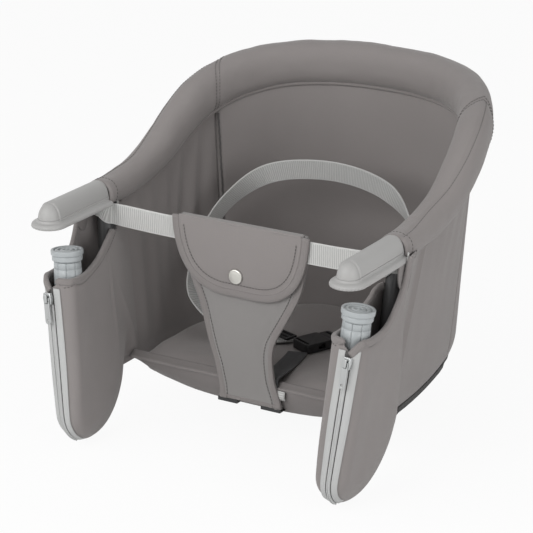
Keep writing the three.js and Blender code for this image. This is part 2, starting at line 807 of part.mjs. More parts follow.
function studSocket() {
  const gap = 1.6;
  const ring = turned([[0, 0], [5, 0], [5, gap], [2.2, gap], [2.2, gap - 0.8], [0, gap - 0.8]], 16);
  return ring.rotateX(Math.PI / 2).translate(STUD_X, panelFace(STUD_Z) - GAP, STUD_Z);
}

function panelFace(z) {
  const k = PANEL_STOPS.findIndex(([level]) => level < z);
  const [above, below] = [PANEL_STOPS[k - 1], PANEL_STOPS[k]];
  return lerp(above[2], below[2], (above[0] - z) / (above[0] - below[0]));
}

function panelHook() {
  const profile = new THREE.Shape([
    v2(PANEL_Y + 2, PANEL_LOW - GAP), v2(PANEL_Y + 4.4, PANEL_LOW - GAP), v2(PANEL_Y + 4.4, BASE_Z - GAP),
    v2(44, BASE_Z - GAP), v2(44, BASE_Z - 3), v2(PANEL_Y + 2, BASE_Z - 3),
  ]);
  const hook = new THREE.ExtrudeGeometry(profile, { depth: 22, bevelEnabled: false });
  return outward(mergeVertices(stripped(hook.rotateX(Math.PI / 2).rotateZ(Math.PI / 2).translate(-11, 0, 0)), 1e-4));
}

const SEAT_TOP = CUSHION_Z + CUSHION_T;

function waistBelt() {
  const down = [0, 0, -1];
  return ribbon([
    [-14, 131, SEAT_TOP + 2.4, [-0.63, 0.78, 0]],
    [-40, 108, SEAT_TOP + 4.5, [-0.5, 0.86, 0]],
    [-78, 97, SEAT_TOP + 17, [-0.1, 0.97, -0.1]],
    [-108, 99, -113, [0.3, 0.86, -0.36]],
    [-121, 122, -84, [0, 0.83, -0.55]],
    [-117, 146, -50, [0.1, 0.8, -0.6]],
    [-101, 162, -24, [0.1, 0.6, -0.7]],
    [-68, 177, 0, down],
    [0, 189, 9, down],
    [68, 177, 0, down],
    [101, 162, -24, [-0.1, 0.6, -0.7]],
    [117, 146, -50, [-0.1, 0.8, -0.6]],
    [121, 126, -90, [0, 0.83, -0.55]],
    [108, 134, SEAT_TOP + 20, [0.21, 0.78, 0.24]],
    [76, 152, SEAT_TOP + 9, [0.45, 0.88, 0.1]],
    [38, 158, SEAT_TOP + 5, [0.15, 0.98, 0]],
  ], BELT_W, BELT_T, 84);
}

function crotchWeb() {
  const across = [1, 0, 0];
  return ribbon([
    [20, 26.9, BASE_Z + BASE_T + 1, across],
    [20, 26.9, SEAT_TOP - 2.5, across],
    [19.9, 28.5, SEAT_TOP + 1.6, across],
    [19.5, 36, SEAT_TOP + 2.6, across],
    [17, 60, SEAT_TOP + 1.6, across],
    [12, 90, SEAT_TOP + 1.8, across],
    [10, 99, SEAT_TOP + 2.4, across],
  ], BELT_W, BELT_T, 16);
}

// buckle frame: local y runs from the socket to the tongue
function buckleFrame() {
  const frame = new THREE.Group();
  frame.position.set(7, 108, SEAT_TOP + 0.8);
  frame.rotation.z = -Math.atan2(0.42, 0.9);
  seat.add(frame);
  return frame;
}

function roundedPlate(x0, x1, y0, y1, radius) {
  const shape = new THREE.Shape();
  shape.moveTo(x0 + radius, y0);
  shape.lineTo(x1 - radius, y0);
  shape.absarc(x1 - radius, y0 + radius, radius, -Math.PI / 2, 0, false);
  shape.lineTo(x1, y1 - radius);
  shape.absarc(x1 - radius, y1 - radius, radius, 0, Math.PI / 2, false);
  shape.lineTo(x0 + radius, y1);
  shape.absarc(x0 + radius, y1 - radius, radius, Math.PI / 2, Math.PI, false);
  shape.lineTo(x0, y0 + radius);
  shape.absarc(x0 + radius, y0 + radius, radius, Math.PI, 1.5 * Math.PI, false);
  shape.closePath();
  return shape;
}

function slot(x0, x1, y0, y1) {
  return new THREE.Path([v2(x0, y0), v2(x0, y1), v2(x1, y1), v2(x1, y0)]);
}

function buckleSocket() {
  const shape = roundedPlate(-13, 13, 0, 30, 3);
  shape.holes.push(slot(-10.5, 10.5, 2.2, 5));
  const body = new THREE.ExtrudeGeometry(shape, { depth: 9, bevelEnabled: false, curveSegments: 4 });
  const mouth = box(-10.6, 10.6, 10, 31, 2.2, 6.8);
  const sides = [-1, 1].map((s) => box(...[s * 8, s * 14].sort((a, b) => a - b), 14, 22, 1.8, 7.2));
  return subtract(body, mouth, ...sides);
}

function buckleTongue() {
  const bar = roundedPlate(-12.5, 12.5, 31, 44, 3);
  bar.holes.push(slot(-10, 10, 38.2, 41));
  const frame = new THREE.ExtrudeGeometry(bar, { depth: 7, bevelEnabled: false, curveSegments: 4 });
  frame.translate(0, 0, 1);
  const guide = box(-1.8, 1.8, 14, 33, 3, 6);
  const prong = (s) => {
    const shape = new THREE.Shape([
      v2(s * 6, 33), v2(s * 6.4, 20), v2(s * 7, 14), v2(s * 9.6, 14), v2(s * 10.2, 19), v2(s * 9, 33),
    ]);
    return outward(mergeVertices(stripped(
      new THREE.ExtrudeGeometry(shape, { depth: 3, bevelEnabled: false }).translate(0, 0, 3),
    ), 1e-4));
  };
  return unite(frame, guide, prong(1), prong(-1));
}

function ladderLock() {
  const shape = roundedPlate(-14, 14, -7, 7, 1.5);
  shape.holes.push(slot(-11, 11, -5, -1.4), slot(-11, 11, 1.4, 5));
  const plate = new THREE.ExtrudeGeometry(shape, { depth: 2.6, bevelEnabled: false, curveSegments: 3 });
  return plate;
}

// ---------------------------------------------------------------- assembly

add(seat, 'top_rail', railTube(), STEEL);
add(seat, 'rim_cover', rimCover(), FABRIC);
add(seat, 'back_panel', wall(-SEAM + SEAM_GAP, SEAM - SEAM_GAP, 18, BACK_T), FABRIC);
add(seat, 'base_board', baseBoard(), DARK_CLOTH);
add(seat, 'seat_cushion', cushion(), FABRIC);
add(seat, 'front_strap', frontStrap(), WEBBING);
add(seat, 'crotch_panel', crotchPanel(), FABRIC);
add(seat, 'crotch_flap', crotchFlap(), FABRIC);
add(seat, 'press_stud_cap', studCap(), BRIGHT);
add(seat, 'press_stud_socket', studSocket(), BRIGHT);
add(seat, 'waist_belt', waistBelt(), WEBBING);
add(seat, 'crotch_web', crotchWeb(), BLACK);

for (const [name, side] of [['left', -1], ['right', 1]]) {
  add(seat, `${name}_side_panel`, wall(side * (SEAM + SEAM_GAP), side, 10, WALL_T), FABRIC);
  add(seat, `${name}_pocket`, pocket(side), FABRIC);
  add(seat, `${name}_arm_pad`, armPad(), RUBBER).position.set(side * ARM_X, 0, 0);
  add(seat, `${name}_arm_joint`, armJoint(side), BLACK).position.set(side * ARM_X, 0, 0);
  add(seat, `${name}_joint_rivet`, rivet(), STEEL).position.set(side * ARM_X, RIVET_Y, RAIL_Z);
  add(seat, `${name}_panel_hook`, panelHook(), BLACK).position.set(side * 24, 0, 0);

  const hook = hookFrame(side);
  add(hook, `${name}_hook_arm`, hookTube(), STEEL);
  add(hook, `${name}_clamp_bush`, clampBush(), GRIP);
  add(hook, `${name}_twist_grip`, grip(), GRIP);
  add(hook, `${name}_clamp_foot`, foot(), GRIP);
  add(hook, `${name}_clamp_spindle`, spindle(), STEEL);

  const zip = zipFrame(side);
  add(zip, `${name}_zip_tape`, zipTape(), TAPE);
  add(zip, `${name}_zip_chain`, zipChain(), TAPE);
  add(zip, `${name}_zip_slider`, zipSlider(), BRIGHT);
  add(zip, `${name}_zip_pull`, zipPull(), BRIGHT).position.set(0, -5.95, -9);
}

const buckle = buckleFrame();
add(buckle, 'buckle_socket', buckleSocket(), BLACK);
add(buckle, 'buckle_tongue', buckleTongue(), BLACK);
const ladder = add(seat, 'belt_ladder_lock', ladderLock(), BLACK);
ladder.position.set(-22, 125, SEAT_TOP + 5.4);
ladder.rotation.z = -0.35;

export default seat;
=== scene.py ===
# %% [markdown]
# # A hook-on table seat, piece by piece
# The seat is a padded bucket on a bent steel rail. Two rubber pads lie on the table top, and two
# hook arms with twist clamps press up from below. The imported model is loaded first: it fixes where
# every solid is, so each soft or detailed piece made here goes exactly where its plain twin stands.

# %% Load the frame
import math
from contextlib import contextmanager
import bpy
import bmesh
from mathutils import Matrix, Vector, noise
from mathutils.kdtree import KDTree


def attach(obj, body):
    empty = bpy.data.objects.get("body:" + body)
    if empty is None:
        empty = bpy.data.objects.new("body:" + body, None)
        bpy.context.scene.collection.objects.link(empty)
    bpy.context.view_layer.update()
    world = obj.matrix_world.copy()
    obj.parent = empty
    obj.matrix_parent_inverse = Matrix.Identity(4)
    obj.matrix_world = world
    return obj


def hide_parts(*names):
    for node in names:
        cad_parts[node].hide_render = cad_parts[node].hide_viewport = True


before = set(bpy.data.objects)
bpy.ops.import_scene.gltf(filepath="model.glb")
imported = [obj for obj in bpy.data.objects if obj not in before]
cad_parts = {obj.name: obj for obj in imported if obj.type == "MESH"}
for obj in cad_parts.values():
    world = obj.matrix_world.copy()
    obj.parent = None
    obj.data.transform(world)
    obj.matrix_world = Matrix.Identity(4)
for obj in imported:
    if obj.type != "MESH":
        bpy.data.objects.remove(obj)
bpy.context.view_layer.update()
MM = 0.001

# %% [markdown]
# ## Camera
# A long lens from far away keeps the two sides of the seat nearly parallel. The camera is set by a
# place, a view direction and a lens, with no roll, so that upright edges stay upright.

# %% Camera
camera_data = bpy.data.cameras.new("view")
camera_data.sensor_width = 36.0
camera_data.lens = 168.84
camera_data.clip_end = 20.0
camera = bpy.data.objects.new("view", camera_data)
bpy.context.scene.collection.objects.link(camera)
camera.location = (1.1519, -1.8752, 0.7409)
look = Vector((-0.4832, 0.8102, -0.3318))
camera.rotation_euler = look.to_track_quat("-Z", "Y").to_euler()
bpy.context.scene.camera = camera
bpy.context.scene.view_settings.view_transform = "Standard"
print("camera is", round(camera.location.length, 3), "m from the origin")

# %% [markdown]
# ## Meshes from rows of points
# Most pieces here are sheets, tubes or shells that follow a path, so one helper turns rows of
# points into quads. It also lays a UV map in real metres, measured along the surface, so that
# weave and ribs keep their true size wherever the cloth bends.

# %% Mesh helpers
def lengths(points, closed=False):
    """How far along the points each one lies."""
    total = [0.0]
    ends = points + points[:1] if closed else points
    for a, b in zip(ends, ends[1:]):
        total.append(total[-1] + (b - a).length)
    return total


def grid(name, rows, wrap=False, loop=False, caps=False):
    """Quads between rows of points given in millimetres. wrap joins each row's ends, loop joins
    the last row to the first, caps closes the two ends of a wrapped tube."""
    across, down = len(rows[0]), len(rows)
    verts = [p * MM for row in rows for p in row]
    middle = rows[len(rows) // 2]
    along_row = lengths([p * MM for p in middle], wrap)
    along_col = lengths([row[across // 2] * MM for row in rows], loop)
    faces, uvs = [], []
    for i in range(down if loop else down - 1):
        for j in range(across if wrap else across - 1):
            i2, j2 = (i + 1) % down, (j + 1) % across
            face = [i * across + j, i * across + j2, i2 * across + j2, i2 * across + j]
            uv = [(along_row[j], along_col[i]), (along_row[j + 1], along_col[i]),
                  (along_row[j + 1], along_col[i + 1]), (along_row[j], along_col[i + 1])]
            faces.append(face)
            uvs.append(uv)
    if caps:
        for start, turn in ((0, -1), ((down - 1) * across, 1)):
            ring = [start + j for j in range(across)]
            faces.append(ring[::turn])
            centre = sum((verts[k] for k in ring), Vector()) / across
            uvs.append([(verts[k] - centre).xy[:] for k in ring[::turn]])
    mesh = bpy.data.meshes.new(name)
    mesh.from_pydata([v[:] for v in verts], [], faces)
    layer = mesh.uv_layers.new(name="UVMap")
    flat = [c for uv in uvs for corner in uv for c in corner]
    layer.data.foreach_set("uv", flat)
    return place(name, mesh)


def place(name, mesh):
    """Puts a mesh into the scene."""
    piece = bpy.data.objects.new(name, mesh)
    bpy.context.scene.collection.objects.link(piece)
    mesh.shade_smooth()
    return piece


print("a path of 3 and 4 is", lengths([Vector((0, 0, 0)), Vector((3, 0, 0)), Vector((3, 4, 0))])[-1], "long")

# %% [markdown]
# ### Changing a piece
# A modifier is applied as soon as it is set, so that every piece ends as a plain mesh. Finer work
# is done in Blender's mesh editor, which lends the mesh out and then takes it back.

# %% Piece helpers
def apply(piece):
    """Applies the piece's modifiers and leaves a plain mesh."""
    graph = bpy.context.evaluated_depsgraph_get()
    graph.update()
    done = bpy.data.meshes.new_from_object(piece.evaluated_get(graph))
    piece.modifiers.clear()
    old = piece.data
    piece.data = done
    bpy.data.meshes.remove(old)
    return piece


def modified(piece, kind, **settings):
    """Adds a modifier with its settings and applies it."""
    step = piece.modifiers.new("step", kind)
    for key, value in settings.items():
        setattr(step, key, value)
    return apply(piece)


@contextmanager
def edited(piece, merge):
    """Lends a piece's mesh to bmesh, with points closer than merge metres made one."""
    work = bmesh.new()
    work.from_mesh(piece.data)
    bmesh.ops.remove_doubles(work, verts=work.verts, dist=merge)
    yield work
    work.to_mesh(piece.data)
    work.free()


def outward(piece):
    """Turns every face outwards."""
    with edited(piece, 1e-6) as work:
        bmesh.ops.recalc_face_normals(work, faces=work.faces)
    return piece


def skin(name, rings):
    """A closed piece through rings of points, with its two ends capped."""
    return outward(grid(name, rings, wrap=True, caps=True))


def thick(piece, thickness):
    """Gives a sheet its thickness, in millimetres, half to each side."""
    return modified(piece, "SOLIDIFY", thickness=thickness * MM, offset=0)


def joined(name, pieces):
    """One piece out of several."""
    work = bmesh.new()
    for piece in pieces:
        work.from_mesh(piece.data)
    mesh = bpy.data.meshes.new(name)
    work.to_mesh(mesh)
    work.free()
    for piece in pieces:
        bpy.data.objects.remove(piece)
    return place(name, mesh)


def moved(piece, matrix):
    """Moves the mesh, not the object, so that the object stays at the origin."""
    piece.data.transform(matrix)
    if matrix.determinant() < 0:
        piece.data.flip_normals()
    return piece


def flipped(line):
    """The same points on the other side of the seat."""
    return [Vector((-p.x, p.y, p.z)) for p in line]


def mirrored(piece, name):
    """The left-hand twin of a right-hand piece."""
    twin = place(name, piece.data.copy())
    return moved(twin, Matrix.Scale(-1, 4, (1, 0, 0)))


print("the twin of (1, 2, 3) is", flipped([Vector((1, 2, 3))])[0][:])

# %% [markdown]
# ### Numbers and lines
# The soft shapes are sums of a few simple functions: a smooth step, a bell, and a mix of two
# values. Each is easy to draw on paper, and together they say where cloth swells and is pulled in.

# %% Number helpers
def clamp(x):
    return min(max(x, 0.0), 1.0)


def ease(x):
    """0 below 0, 1 above 1, and a smooth rise between."""
    x = clamp(x)
    return x * x * (3 - 2 * x)


def bump(x, width):
    """A bell of height 1 about 0."""
    return math.exp(-(x / width) ** 2)


def mix(a, b, t):
    """a where t is 0, b where t is 1."""
    return a + (b - a) * t


def evenly(a, b, gaps):
    """Values from a to b with equal gaps between them."""
    return [mix(a, b, k / gaps) for k in range(gaps + 1)]


def heading(points, i):
    """The direction of a line of points at one of them."""
    return (points[min(i + 1, len(points) - 1)] - points[max(i - 1, 0)]).normalized()


print("ease of 0.25, 0.5 and 0.75:", [ease(t) for t in (0.25, 0.5, 0.75)])

# %% [markdown]
# ### Routes
# A route is a smooth curve that passes through every point it is given, however unevenly they are
# spaced. It is read by its share of the length, or by its knots where two routes must keep step.

# %% Route
class Route:
    """A smooth curve through points, in millimetres, read by its share of the length."""

    def __init__(self, points, samples=400):
        self.points = [Vector(p) for p in points]
        self.line = [self.at_knot(t) for t in evenly(0, 1, samples)]
        self.total = lengths(self.line)

    def at_knot(self, t):
        """The place at a share t of the knots, however far apart they are."""
        p, last = self.points, len(self.points) - 1
        k = min(int(t * last), last - 1)
        w = t * last - k
        p1, p2 = p[k], p[k + 1]
        p0 = p[k - 1] if k > 0 else p1 * 2 - p2
        p3 = p[k + 2] if k + 2 <= last else p2 * 2 - p1
        d0, d1, d2 = (max((b - a).length, 1e-6) ** 0.5 for a, b in ((p0, p1), (p1, p2), (p2, p3)))
        t1 = ((p1 - p0) / d0 - (p2 - p0) / (d0 + d1) + (p2 - p1) / d1) * d1
        t2 = ((p2 - p1) / d1 - (p3 - p1) / (d1 + d2) + (p3 - p2) / d2) * d1
        c2, c3 = (p2 - p1) * 3 - t1 * 2 - t2, (p1 - p2) * 2 + t1 + t2
        return p1 + t1 * w + c2 * w * w + c3 * w ** 3

    def at(self, share):
        """The place at a share of the length."""
        goal = clamp(share) * self.total[-1]
        low, high = 0, len(self.total) - 1
        while high - low > 1:
            middle = (low + high) // 2
            low, high = (middle, high) if self.total[middle] <= goal else (low, middle)
        step = self.total[high] - self.total[low]
        return self.line[low].lerp(self.line[high], (goal - self.total[low]) / max(step, 1e-9))

    def along(self, share):
        return (self.at(share + 0.002) - self.at(share - 0.002)).normalized()

    def spaced(self, gaps):
        return [self.at(share) for share in evenly(0, 1, gaps)]


print("half way round a bend:", [round(c, 2) for c in Route([(0, 0, 0), (10, 0, 0), (10, 10, 0)]).at(0.5)])

# %% [markdown]
# ### Tubes and turned bodies
# Tubing, piping and wire are a circle carried along a line. The circle is turned as little as
# possible from one point to the next, so the tube does not twist. Round parts are turned about
# their own axis, as on a lathe.

# %% Tube and lathe helpers
def pipe(name, points, radius, around, squash=1.0):
    """A round or flattened tube along points."""
    rows, side = [], None
    for i, point in enumerate(points):
        along = heading(points, i)
        if side is None:
            side = along.orthogonal().normalized()
        side = (side - along * side.dot(along)).normalized()
        up = along.cross(side)
        rows.append([point + side * radius * math.cos(a) + up * radius * squash * math.sin(a)
                     for a in (2 * math.pi * j / around for j in range(around))])
    return skin(name, rows)


def circle(radius, z, around):
    """Points round Z at one height; radius may be a function of the angle."""
    points = []
    for j in range(around):
        a = 2 * math.pi * j / around
        r = radius(a) if callable(radius) else radius
        points.append(Vector((r * math.cos(a), r * math.sin(a), z)))
    return points


def turned(name, profile, around):
    """A body of revolution about Z from (radius, height) pairs in millimetres."""
    return outward(grid(name, [circle(r, z, around) for r, z in profile], wrap=True))


def rounded(profile, radius, steps):
    """Rounds the inner corners of a (radius, height) profile."""
    points = [Vector(p) for p in profile]
    result = [points[0]]
    for before, corner, after in zip(points, points[1:], points[2:]):
        to_a, to_b = before - corner, after - corner
        reach = min(radius, to_a.length * 0.45, to_b.length * 0.45)
        a, b = corner + to_a.normalized() * reach, corner + to_b.normalized() * reach
        for t in evenly(0, 1, steps):
            result.append(a * (1 - t) ** 2 + corner * 2 * t * (1 - t) + b * t * t)
    return [(p[0], p[1]) for p in result + [points[-1]]]


print("a square of radius 1:", [[round(c, 3) for c in p.xy] for p in circle(1, 0, 4)])

# %% [markdown]
# ### Telling the frame about a piece
# Every finished piece rides on one body. It may also stand
# for some of the plain solids, which are then left out.

# %% Dressing helpers
def entered(piece, body, nodes=()):
    """Tells the frame a piece's body and the plain solids it stands for."""
    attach(piece, body)
    if nodes:
        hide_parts(*nodes)
    return piece


def dressed(piece, finish, body="seat", nodes=()):
    """Gives a piece its finish and enters it in the frame."""
    piece.data.materials.clear()
    piece.data.materials.append(finish)
    return entered(piece, body, nodes)


print("plain solids to stand for:", len(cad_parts))

# %% [markdown]
# ## Finishes
# A finish is a small node tree. Writing it as arithmetic keeps it readable, so one class wraps a
# socket and lets Python's own operators add the Math nodes. Only what changes over a surface is
# linked; what is the same all over is set on the shader itself.

# %% Shader arithmetic
class Value:
    """A number that varies over a surface."""

    def __init__(self, finish, socket):
        self.finish, self.socket = finish, socket

    def math(self, operation, *values):
        node = self.finish.node("ShaderNodeMath", {"operation": operation}, dict(enumerate(values)))
        return Value(self.finish, node.outputs[0])

    def __add__(self, other):
        return self.math("ADD", self, other)

    def __mul__(self, other):
        return self.math("MULTIPLY", self, other)

    def __sub__(self, other):
        return self.math("SUBTRACT", self, other)

    def __rsub__(self, other):
        return self.math("SUBTRACT", other, self)

    __radd__, __rmul__ = __add__, __mul__

    def sin(self):
        return self.math("SINE", self)

    def size(self):
        return self.math("ABSOLUTE", self)

    def between(self, low, high):
        """0 below low, 1 above high, smooth in between."""
        node = self.finish.node("ShaderNodeMapRange", {"interpolation_type": "SMOOTHSTEP"},
                                {"Value": self, "From Min": low, "From Max": high})
        return Value(self.finish, node.outputs[0])


def add_node(tree, kind, settings, sockets):
    """Any node: its settings first, then the values or links of its sockets."""
    node = tree.nodes.new(kind)
    for key, value in settings.items():
        setattr(node, key, value)
    for key, value in sockets.items():
        value = value.socket if isinstance(value, Value) else value
        if isinstance(value, bpy.types.NodeSocket):
            tree.links.new(value, node.inputs[key])
        else:
            node.inputs[key].default_value = value
    return node


print("the shader's arithmetic has sums, products and a smooth step")

# %% [markdown]
# ### One finish
# A finish keeps its colour, so that patches, grooves and specks can be mixed into it one after
# another. Relief is added in the same way: each bump takes up the normal that the last one made.

# %% Finish class
class Finish:
    """A material: the principled shader with its fixed values, and helpers that add nodes to it."""

    def __init__(self, name, colour, roughness, metallic=0.0, sheen=0.0, specular=0.5):
        self.material = bpy.data.materials.new(name)
        self.material.use_nodes = True
        self.tree = self.material.node_tree
        self.shader = self.tree.nodes["Principled BSDF"]
        self.colour = tuple(colour)
        self.shader.inputs["Base Color"].default_value = (*colour, 1)
        fixed = {"Roughness": roughness, "Metallic": metallic, "Sheen Weight": sheen, "Sheen Roughness": 0.45,
                 "Specular IOR Level": specular}
        for socket, value in fixed.items():
            self.shader.inputs[socket].default_value = value

    def node(self, kind, settings, sockets):
        return add_node(self.tree, kind, settings, sockets)

    def coordinates(self, kind="Object"):
        return self.node("ShaderNodeTexCoord", {}, {}).outputs[kind]

    def split(self, vector):
        node = self.node("ShaderNodeSeparateXYZ", {}, {0: vector})
        return [Value(self, node.outputs[i]) for i in range(3)]

    def cloud(self, scale, detail, stretch=(1, 1, 1)):
        """Soft random patches, from 0 to 1."""
        where = self.node("ShaderNodeMapping", {}, {"Vector": self.coordinates(), "Scale": stretch})
        node = self.node("ShaderNodeTexNoise", {}, {"Vector": where.outputs[0], "Scale": scale, "Detail": detail})
        return Value(self, node.outputs[0])

    def tint(self, amount, colour=None):
        """Mixes the base colour with another where amount is 1."""
        base = self.shader.inputs["Base Color"]
        other = colour or tuple(c * 0.55 for c in self.colour)
        node = self.node("ShaderNodeMix", {"data_type": "RGBA"}, {"Factor": amount})
        colours = [s for s in node.inputs if s.type == "RGBA"]
        if base.links:
            self.tree.links.new(base.links[0].from_socket, colours[0])
        else:
            colours[0].default_value = (*self.colour, 1)
        colours[1].default_value = (*other, 1)
        self.tree.links.new([s for s in node.outputs if s.type == "RGBA"][0], base)

    def relief(self, height, depth, strength):
        """Raises the surface by height times depth, in metres."""
        normal = self.shader.inputs["Normal"]
        node = self.node("ShaderNodeBump", {}, {"Height": height, "Distance": depth, "Strength": strength})
        if normal.links:
            self.tree.links.new(normal.links[0].from_socket, node.inputs["Normal"])
        self.tree.links.new(node.outputs[0], normal)

    def vary(self, socket, value):
        self.tree.links.new(value.socket, self.shader.inputs[socket])


def turns(pitch):
    """Radians for each metre, for a pattern that repeats every pitch metres."""
    return 2 * math.pi / pitch


print("a weave of 0.7 mm is", round(turns(0.0007)), "radians for each metre")

# %% [markdown]
# ### Cloth
# The shell is a fine plain weave of matte polyester with a soft sheen. Over and under threads are
# the product of two waves a fraction of a millimetre long. Broad, faint clouds break up the
# evenness, as handling does. Rolled and simulated pieces have no flat map, so the same weave can
# also be read from the object's own space.

# %% Cloth finishes
CLOTH_ROUGHNESS = 0.82


def cloth(name, colour, pitch=0.0007, depth=0.00006, mapped=True, sheen=0.25):
    """A plain weave: pitch is one thread's width in metres and depth how far the threads stand up."""
    finish = Finish(name, colour, CLOTH_ROUGHNESS, sheen=sheen, specular=0.3)
    if mapped:
        u, v, _ = finish.split(finish.coordinates("UV"))
        weave = (u * turns(pitch)).sin() * (v * turns(pitch)).sin()
    else:
        x, y, z = finish.split(finish.coordinates())
        wave = [(axis * turns(pitch)).sin() for axis in (x, y, z)]
        weave = wave[0] * wave[1] + wave[1] * wave[2] + wave[2] * wave[0]
    patches = finish.cloud(14, 3)
    specks = finish.cloud(1400, 1)
    creases = finish.cloud(34, 2, (1, 1, 0.45))
    finish.tint((patches - 0.5) * 0.22 + (specks - 0.5) * 0.16 + weave * 0.03 + 0.08)
    finish.vary("Roughness", CLOTH_ROUGHNESS + (specks - 0.5) * 0.12)
    finish.relief(creases, 0.0016, 0.35)
    finish.relief(weave, depth, 0.6)
    return finish.material


GREY = (0.268, 0.247, 0.241)
shell_cloth = cloth("shell_cloth", GREY)
panel_cloth = cloth("panel_cloth", (0.273, 0.262, 0.2555))
# The skirt's cloth is the shell grey made darker: painted shade, because the skirt's front leans down, away from the
# light.
painted_shade_skirt_cloth = cloth("painted_shade_skirt_cloth", tuple(c * 0.78 for c in GREY))
soft_cloth = cloth("soft_cloth", GREY, mapped=False)
edge_cloth = cloth("edge_cloth", tuple(c * 0.93 for c in GREY), 0.0006, 0.00008)
lining = cloth("lining_cloth", (0.085, 0.08, 0.078), 0.0016, 0.0002, sheen=0.1)
# A near-black cloth for strips laid along the back seams and beside the zip ridges: it paints the shadow in those seams
# and grooves.
shadow_cloth = cloth("painted_shadow_cloth", (0.11, 0.105, 0.103), 0.0008, sheen=0.05)
underside = cloth("underside_cloth", (0.05, 0.048, 0.047), 0.0011, 0.00015, mapped=False, sheen=0.1)
print("cloth finishes:", len(bpy.data.materials))


# %% [markdown]
# ### Webbing
# Webbing is woven with hard ribs across its width and a smooth selvedge at each edge. The map runs
# in metres across and along the band, so the ribs are a wave along it, broken into short floats by
# a second, finer wave, and the selvedge is what lies within a millimetre of either edge. The hollows
# between the ribs are darkened as painted shade.

# %% Webbing finish
def webbing(name, colour, width, rib=0.0019):
    """Ribbed webbing of a width, in metres, with a plain selvedge at each edge."""
    finish = Finish(name, colour, 0.72, sheen=0.2, specular=0.35)
    across, along, _ = finish.split(finish.coordinates("UV"))
    rib_wave = (along * turns(rib)).sin()
    floats = (across * turns(0.0011)).sin() * 0.5 + 0.5
    middle = 1 - ((across - width / 2).size()).between(width / 2 - 0.0016, width / 2 - 0.0007)
    height = (rib_wave * 0.6 + floats * 0.4) * middle
    specks = finish.cloud(900, 1)
    # The hollows between the ribs are tinted darker: painted shade in the rib grooves.
    grooves = (1 - height.between(-0.35, 0.5)) * middle
    finish.tint(grooves * 0.55 + (specks - 0.5) * 0.2, tuple(c * 0.5 for c in colour))
    finish.relief(height, 0.00035, 0.8)
    return finish.material


light_web = webbing("light_webbing", (0.60, 0.60, 0.585), 0.022, 0.0022)
belt_web = webbing("belt_webbing", (0.49, 0.49, 0.48), 0.020)
dark_web = webbing("dark_webbing", (0.045, 0.045, 0.047), 0.020)
print("webbing finishes:", [light_web.name, belt_web.name, dark_web.name])

# %% [markdown]
# ### Hard finishes
# Moulded plastic has a fine spark-eroded grain and gets a little smoother where hands polish it.
# The pad rubber is matte with a bloom. Painted tube has a faint orange-peel, and plated metal has
# small brushed lines.

# %% Plastic, rubber and metal
def moulded(name, colour, roughness, grain=0.00003, sheen=0.0):
    """Plastic, rubber or paint with a fine grain."""
    finish = Finish(name, colour, roughness, sheen=sheen)
    specks = finish.cloud(2600, 1)
    patches = finish.cloud(22, 2)
    finish.tint((patches - 0.5) * 0.12 + (specks - 0.5) * 0.06 + 0.03)
    finish.vary("Roughness", roughness + (patches - 0.5) * 0.14)
    finish.relief(specks, grain, 0.5)
    return finish.material


def metal(name, colour, roughness):
    """Metal with faint brushed lines."""
    finish = Finish(name, colour, roughness, metallic=1.0)
    lines = finish.cloud(700, 2, (1, 1, 8))
    finish.tint((lines - 0.5) * 0.25 + 0.08)
    finish.vary("Roughness", roughness + (lines - 0.5) * 0.2)
    finish.relief(lines, 0.00002, 0.4)
    return finish.material


pad_rubber = moulded("pad_rubber", (0.385, 0.381, 0.374), 0.5, 0.00004, sheen=0.08)
clamp_grey = moulded("clamp_plastic", (0.395, 0.42, 0.43), 0.38)
black_grain = moulded("black_plastic", (0.018, 0.018, 0.019), 0.42, 0.00005)
tube_paint = moulded("tube_paint", (0.05, 0.05, 0.051), 0.36, 0.00002)
bright = metal("plated_metal", (0.60, 0.59, 0.55), 0.4)
zip_metal = metal("zip_metal", (0.50, 0.51, 0.51), 0.34)
spindle_steel = metal("spindle_steel", (0.55, 0.55, 0.56), 0.3)
thread = moulded("sewing_thread", (0.105, 0.098, 0.095), 0.7, 0.00002)
zip_cloth = cloth("zip_tape_cloth", (0.53, 0.535, 0.53), 0.0008, 0.00012, sheen=0.1)
print("finishes:", len(bpy.data.materials))

# %% [markdown]
# ## The rail's path
# Everything soft hangs from the bent rail, so its centre line comes first. It runs level through
# the arm pads, climbs behind them and turns round the child's back. The path is mirrored about the
# middle and read by its share of the length: 0.5 is the middle of the back.

# %% Rail path
HALF_RAIL = [(0, 288, 94), (62, 281, 92.5), (108, 256, 89), (139, 216, 80), (153, 180, 67), (159, 146, 48),
             (160, 110, 28), (160, 74, 16.5), (160, 40, 11.6), (160, 12, 11), (160, -72, 11)]
rail = Route([(-x, y, z) for x, y, z in HALF_RAIL[:0:-1]] + HALF_RAIL, 900)


def rail_at_y(y):
    """The share of the right-hand rail that reaches a depth y."""
    low, high = 0.5, 1.0
    for _ in range(40):
        middle = (low + high) / 2
        low, high = (middle, high) if rail.at(middle).y > y else (low, middle)
    return low


RIM_END = rail_at_y(10.6)
RIM_WALL_END = rail_at_y(34.6)


def rim_frame(u):
    """Centre, sideways, up and the share from the middle of the back (0) to the front end (1)."""
    along = rail.along(u)
    side = Vector((0, 0, 1)).cross(along).normalized()
    return rail.at(u), side, along.cross(side).normalized(), abs(u - 0.5) / (RIM_END - 0.5)


def rim_size(share):
    """Half the rim's width, half its height and how far it hangs below the rail."""
    grow = ease((1 - share) / 0.55)
    return mix(14.6, 17.0, grow), mix(13.0, 22.0, grow), mix(1.6, 0.0, grow)


print("rail length", round(rail.total[-1]), "mm")

# %% [markdown]
# ## Rim cover
# The rail wears a sleeve of foam under tight cloth. It is lofted along the rail: an oval that is
# tall round the back and slimmer at the arms. Two cross seams, where the back and arm lengths are
# sewn together, pull the foam in, and a little slow noise stops it looking turned on a lathe.

# %% Rim cover
def cross_seam(a):
    """Distance of the cross seam from the middle of the back, in millimetres, at an angle of the section."""
    return (0.177 + 0.035 * abs(math.sin((a - 1.134) / 2))) * rail.total[-1]


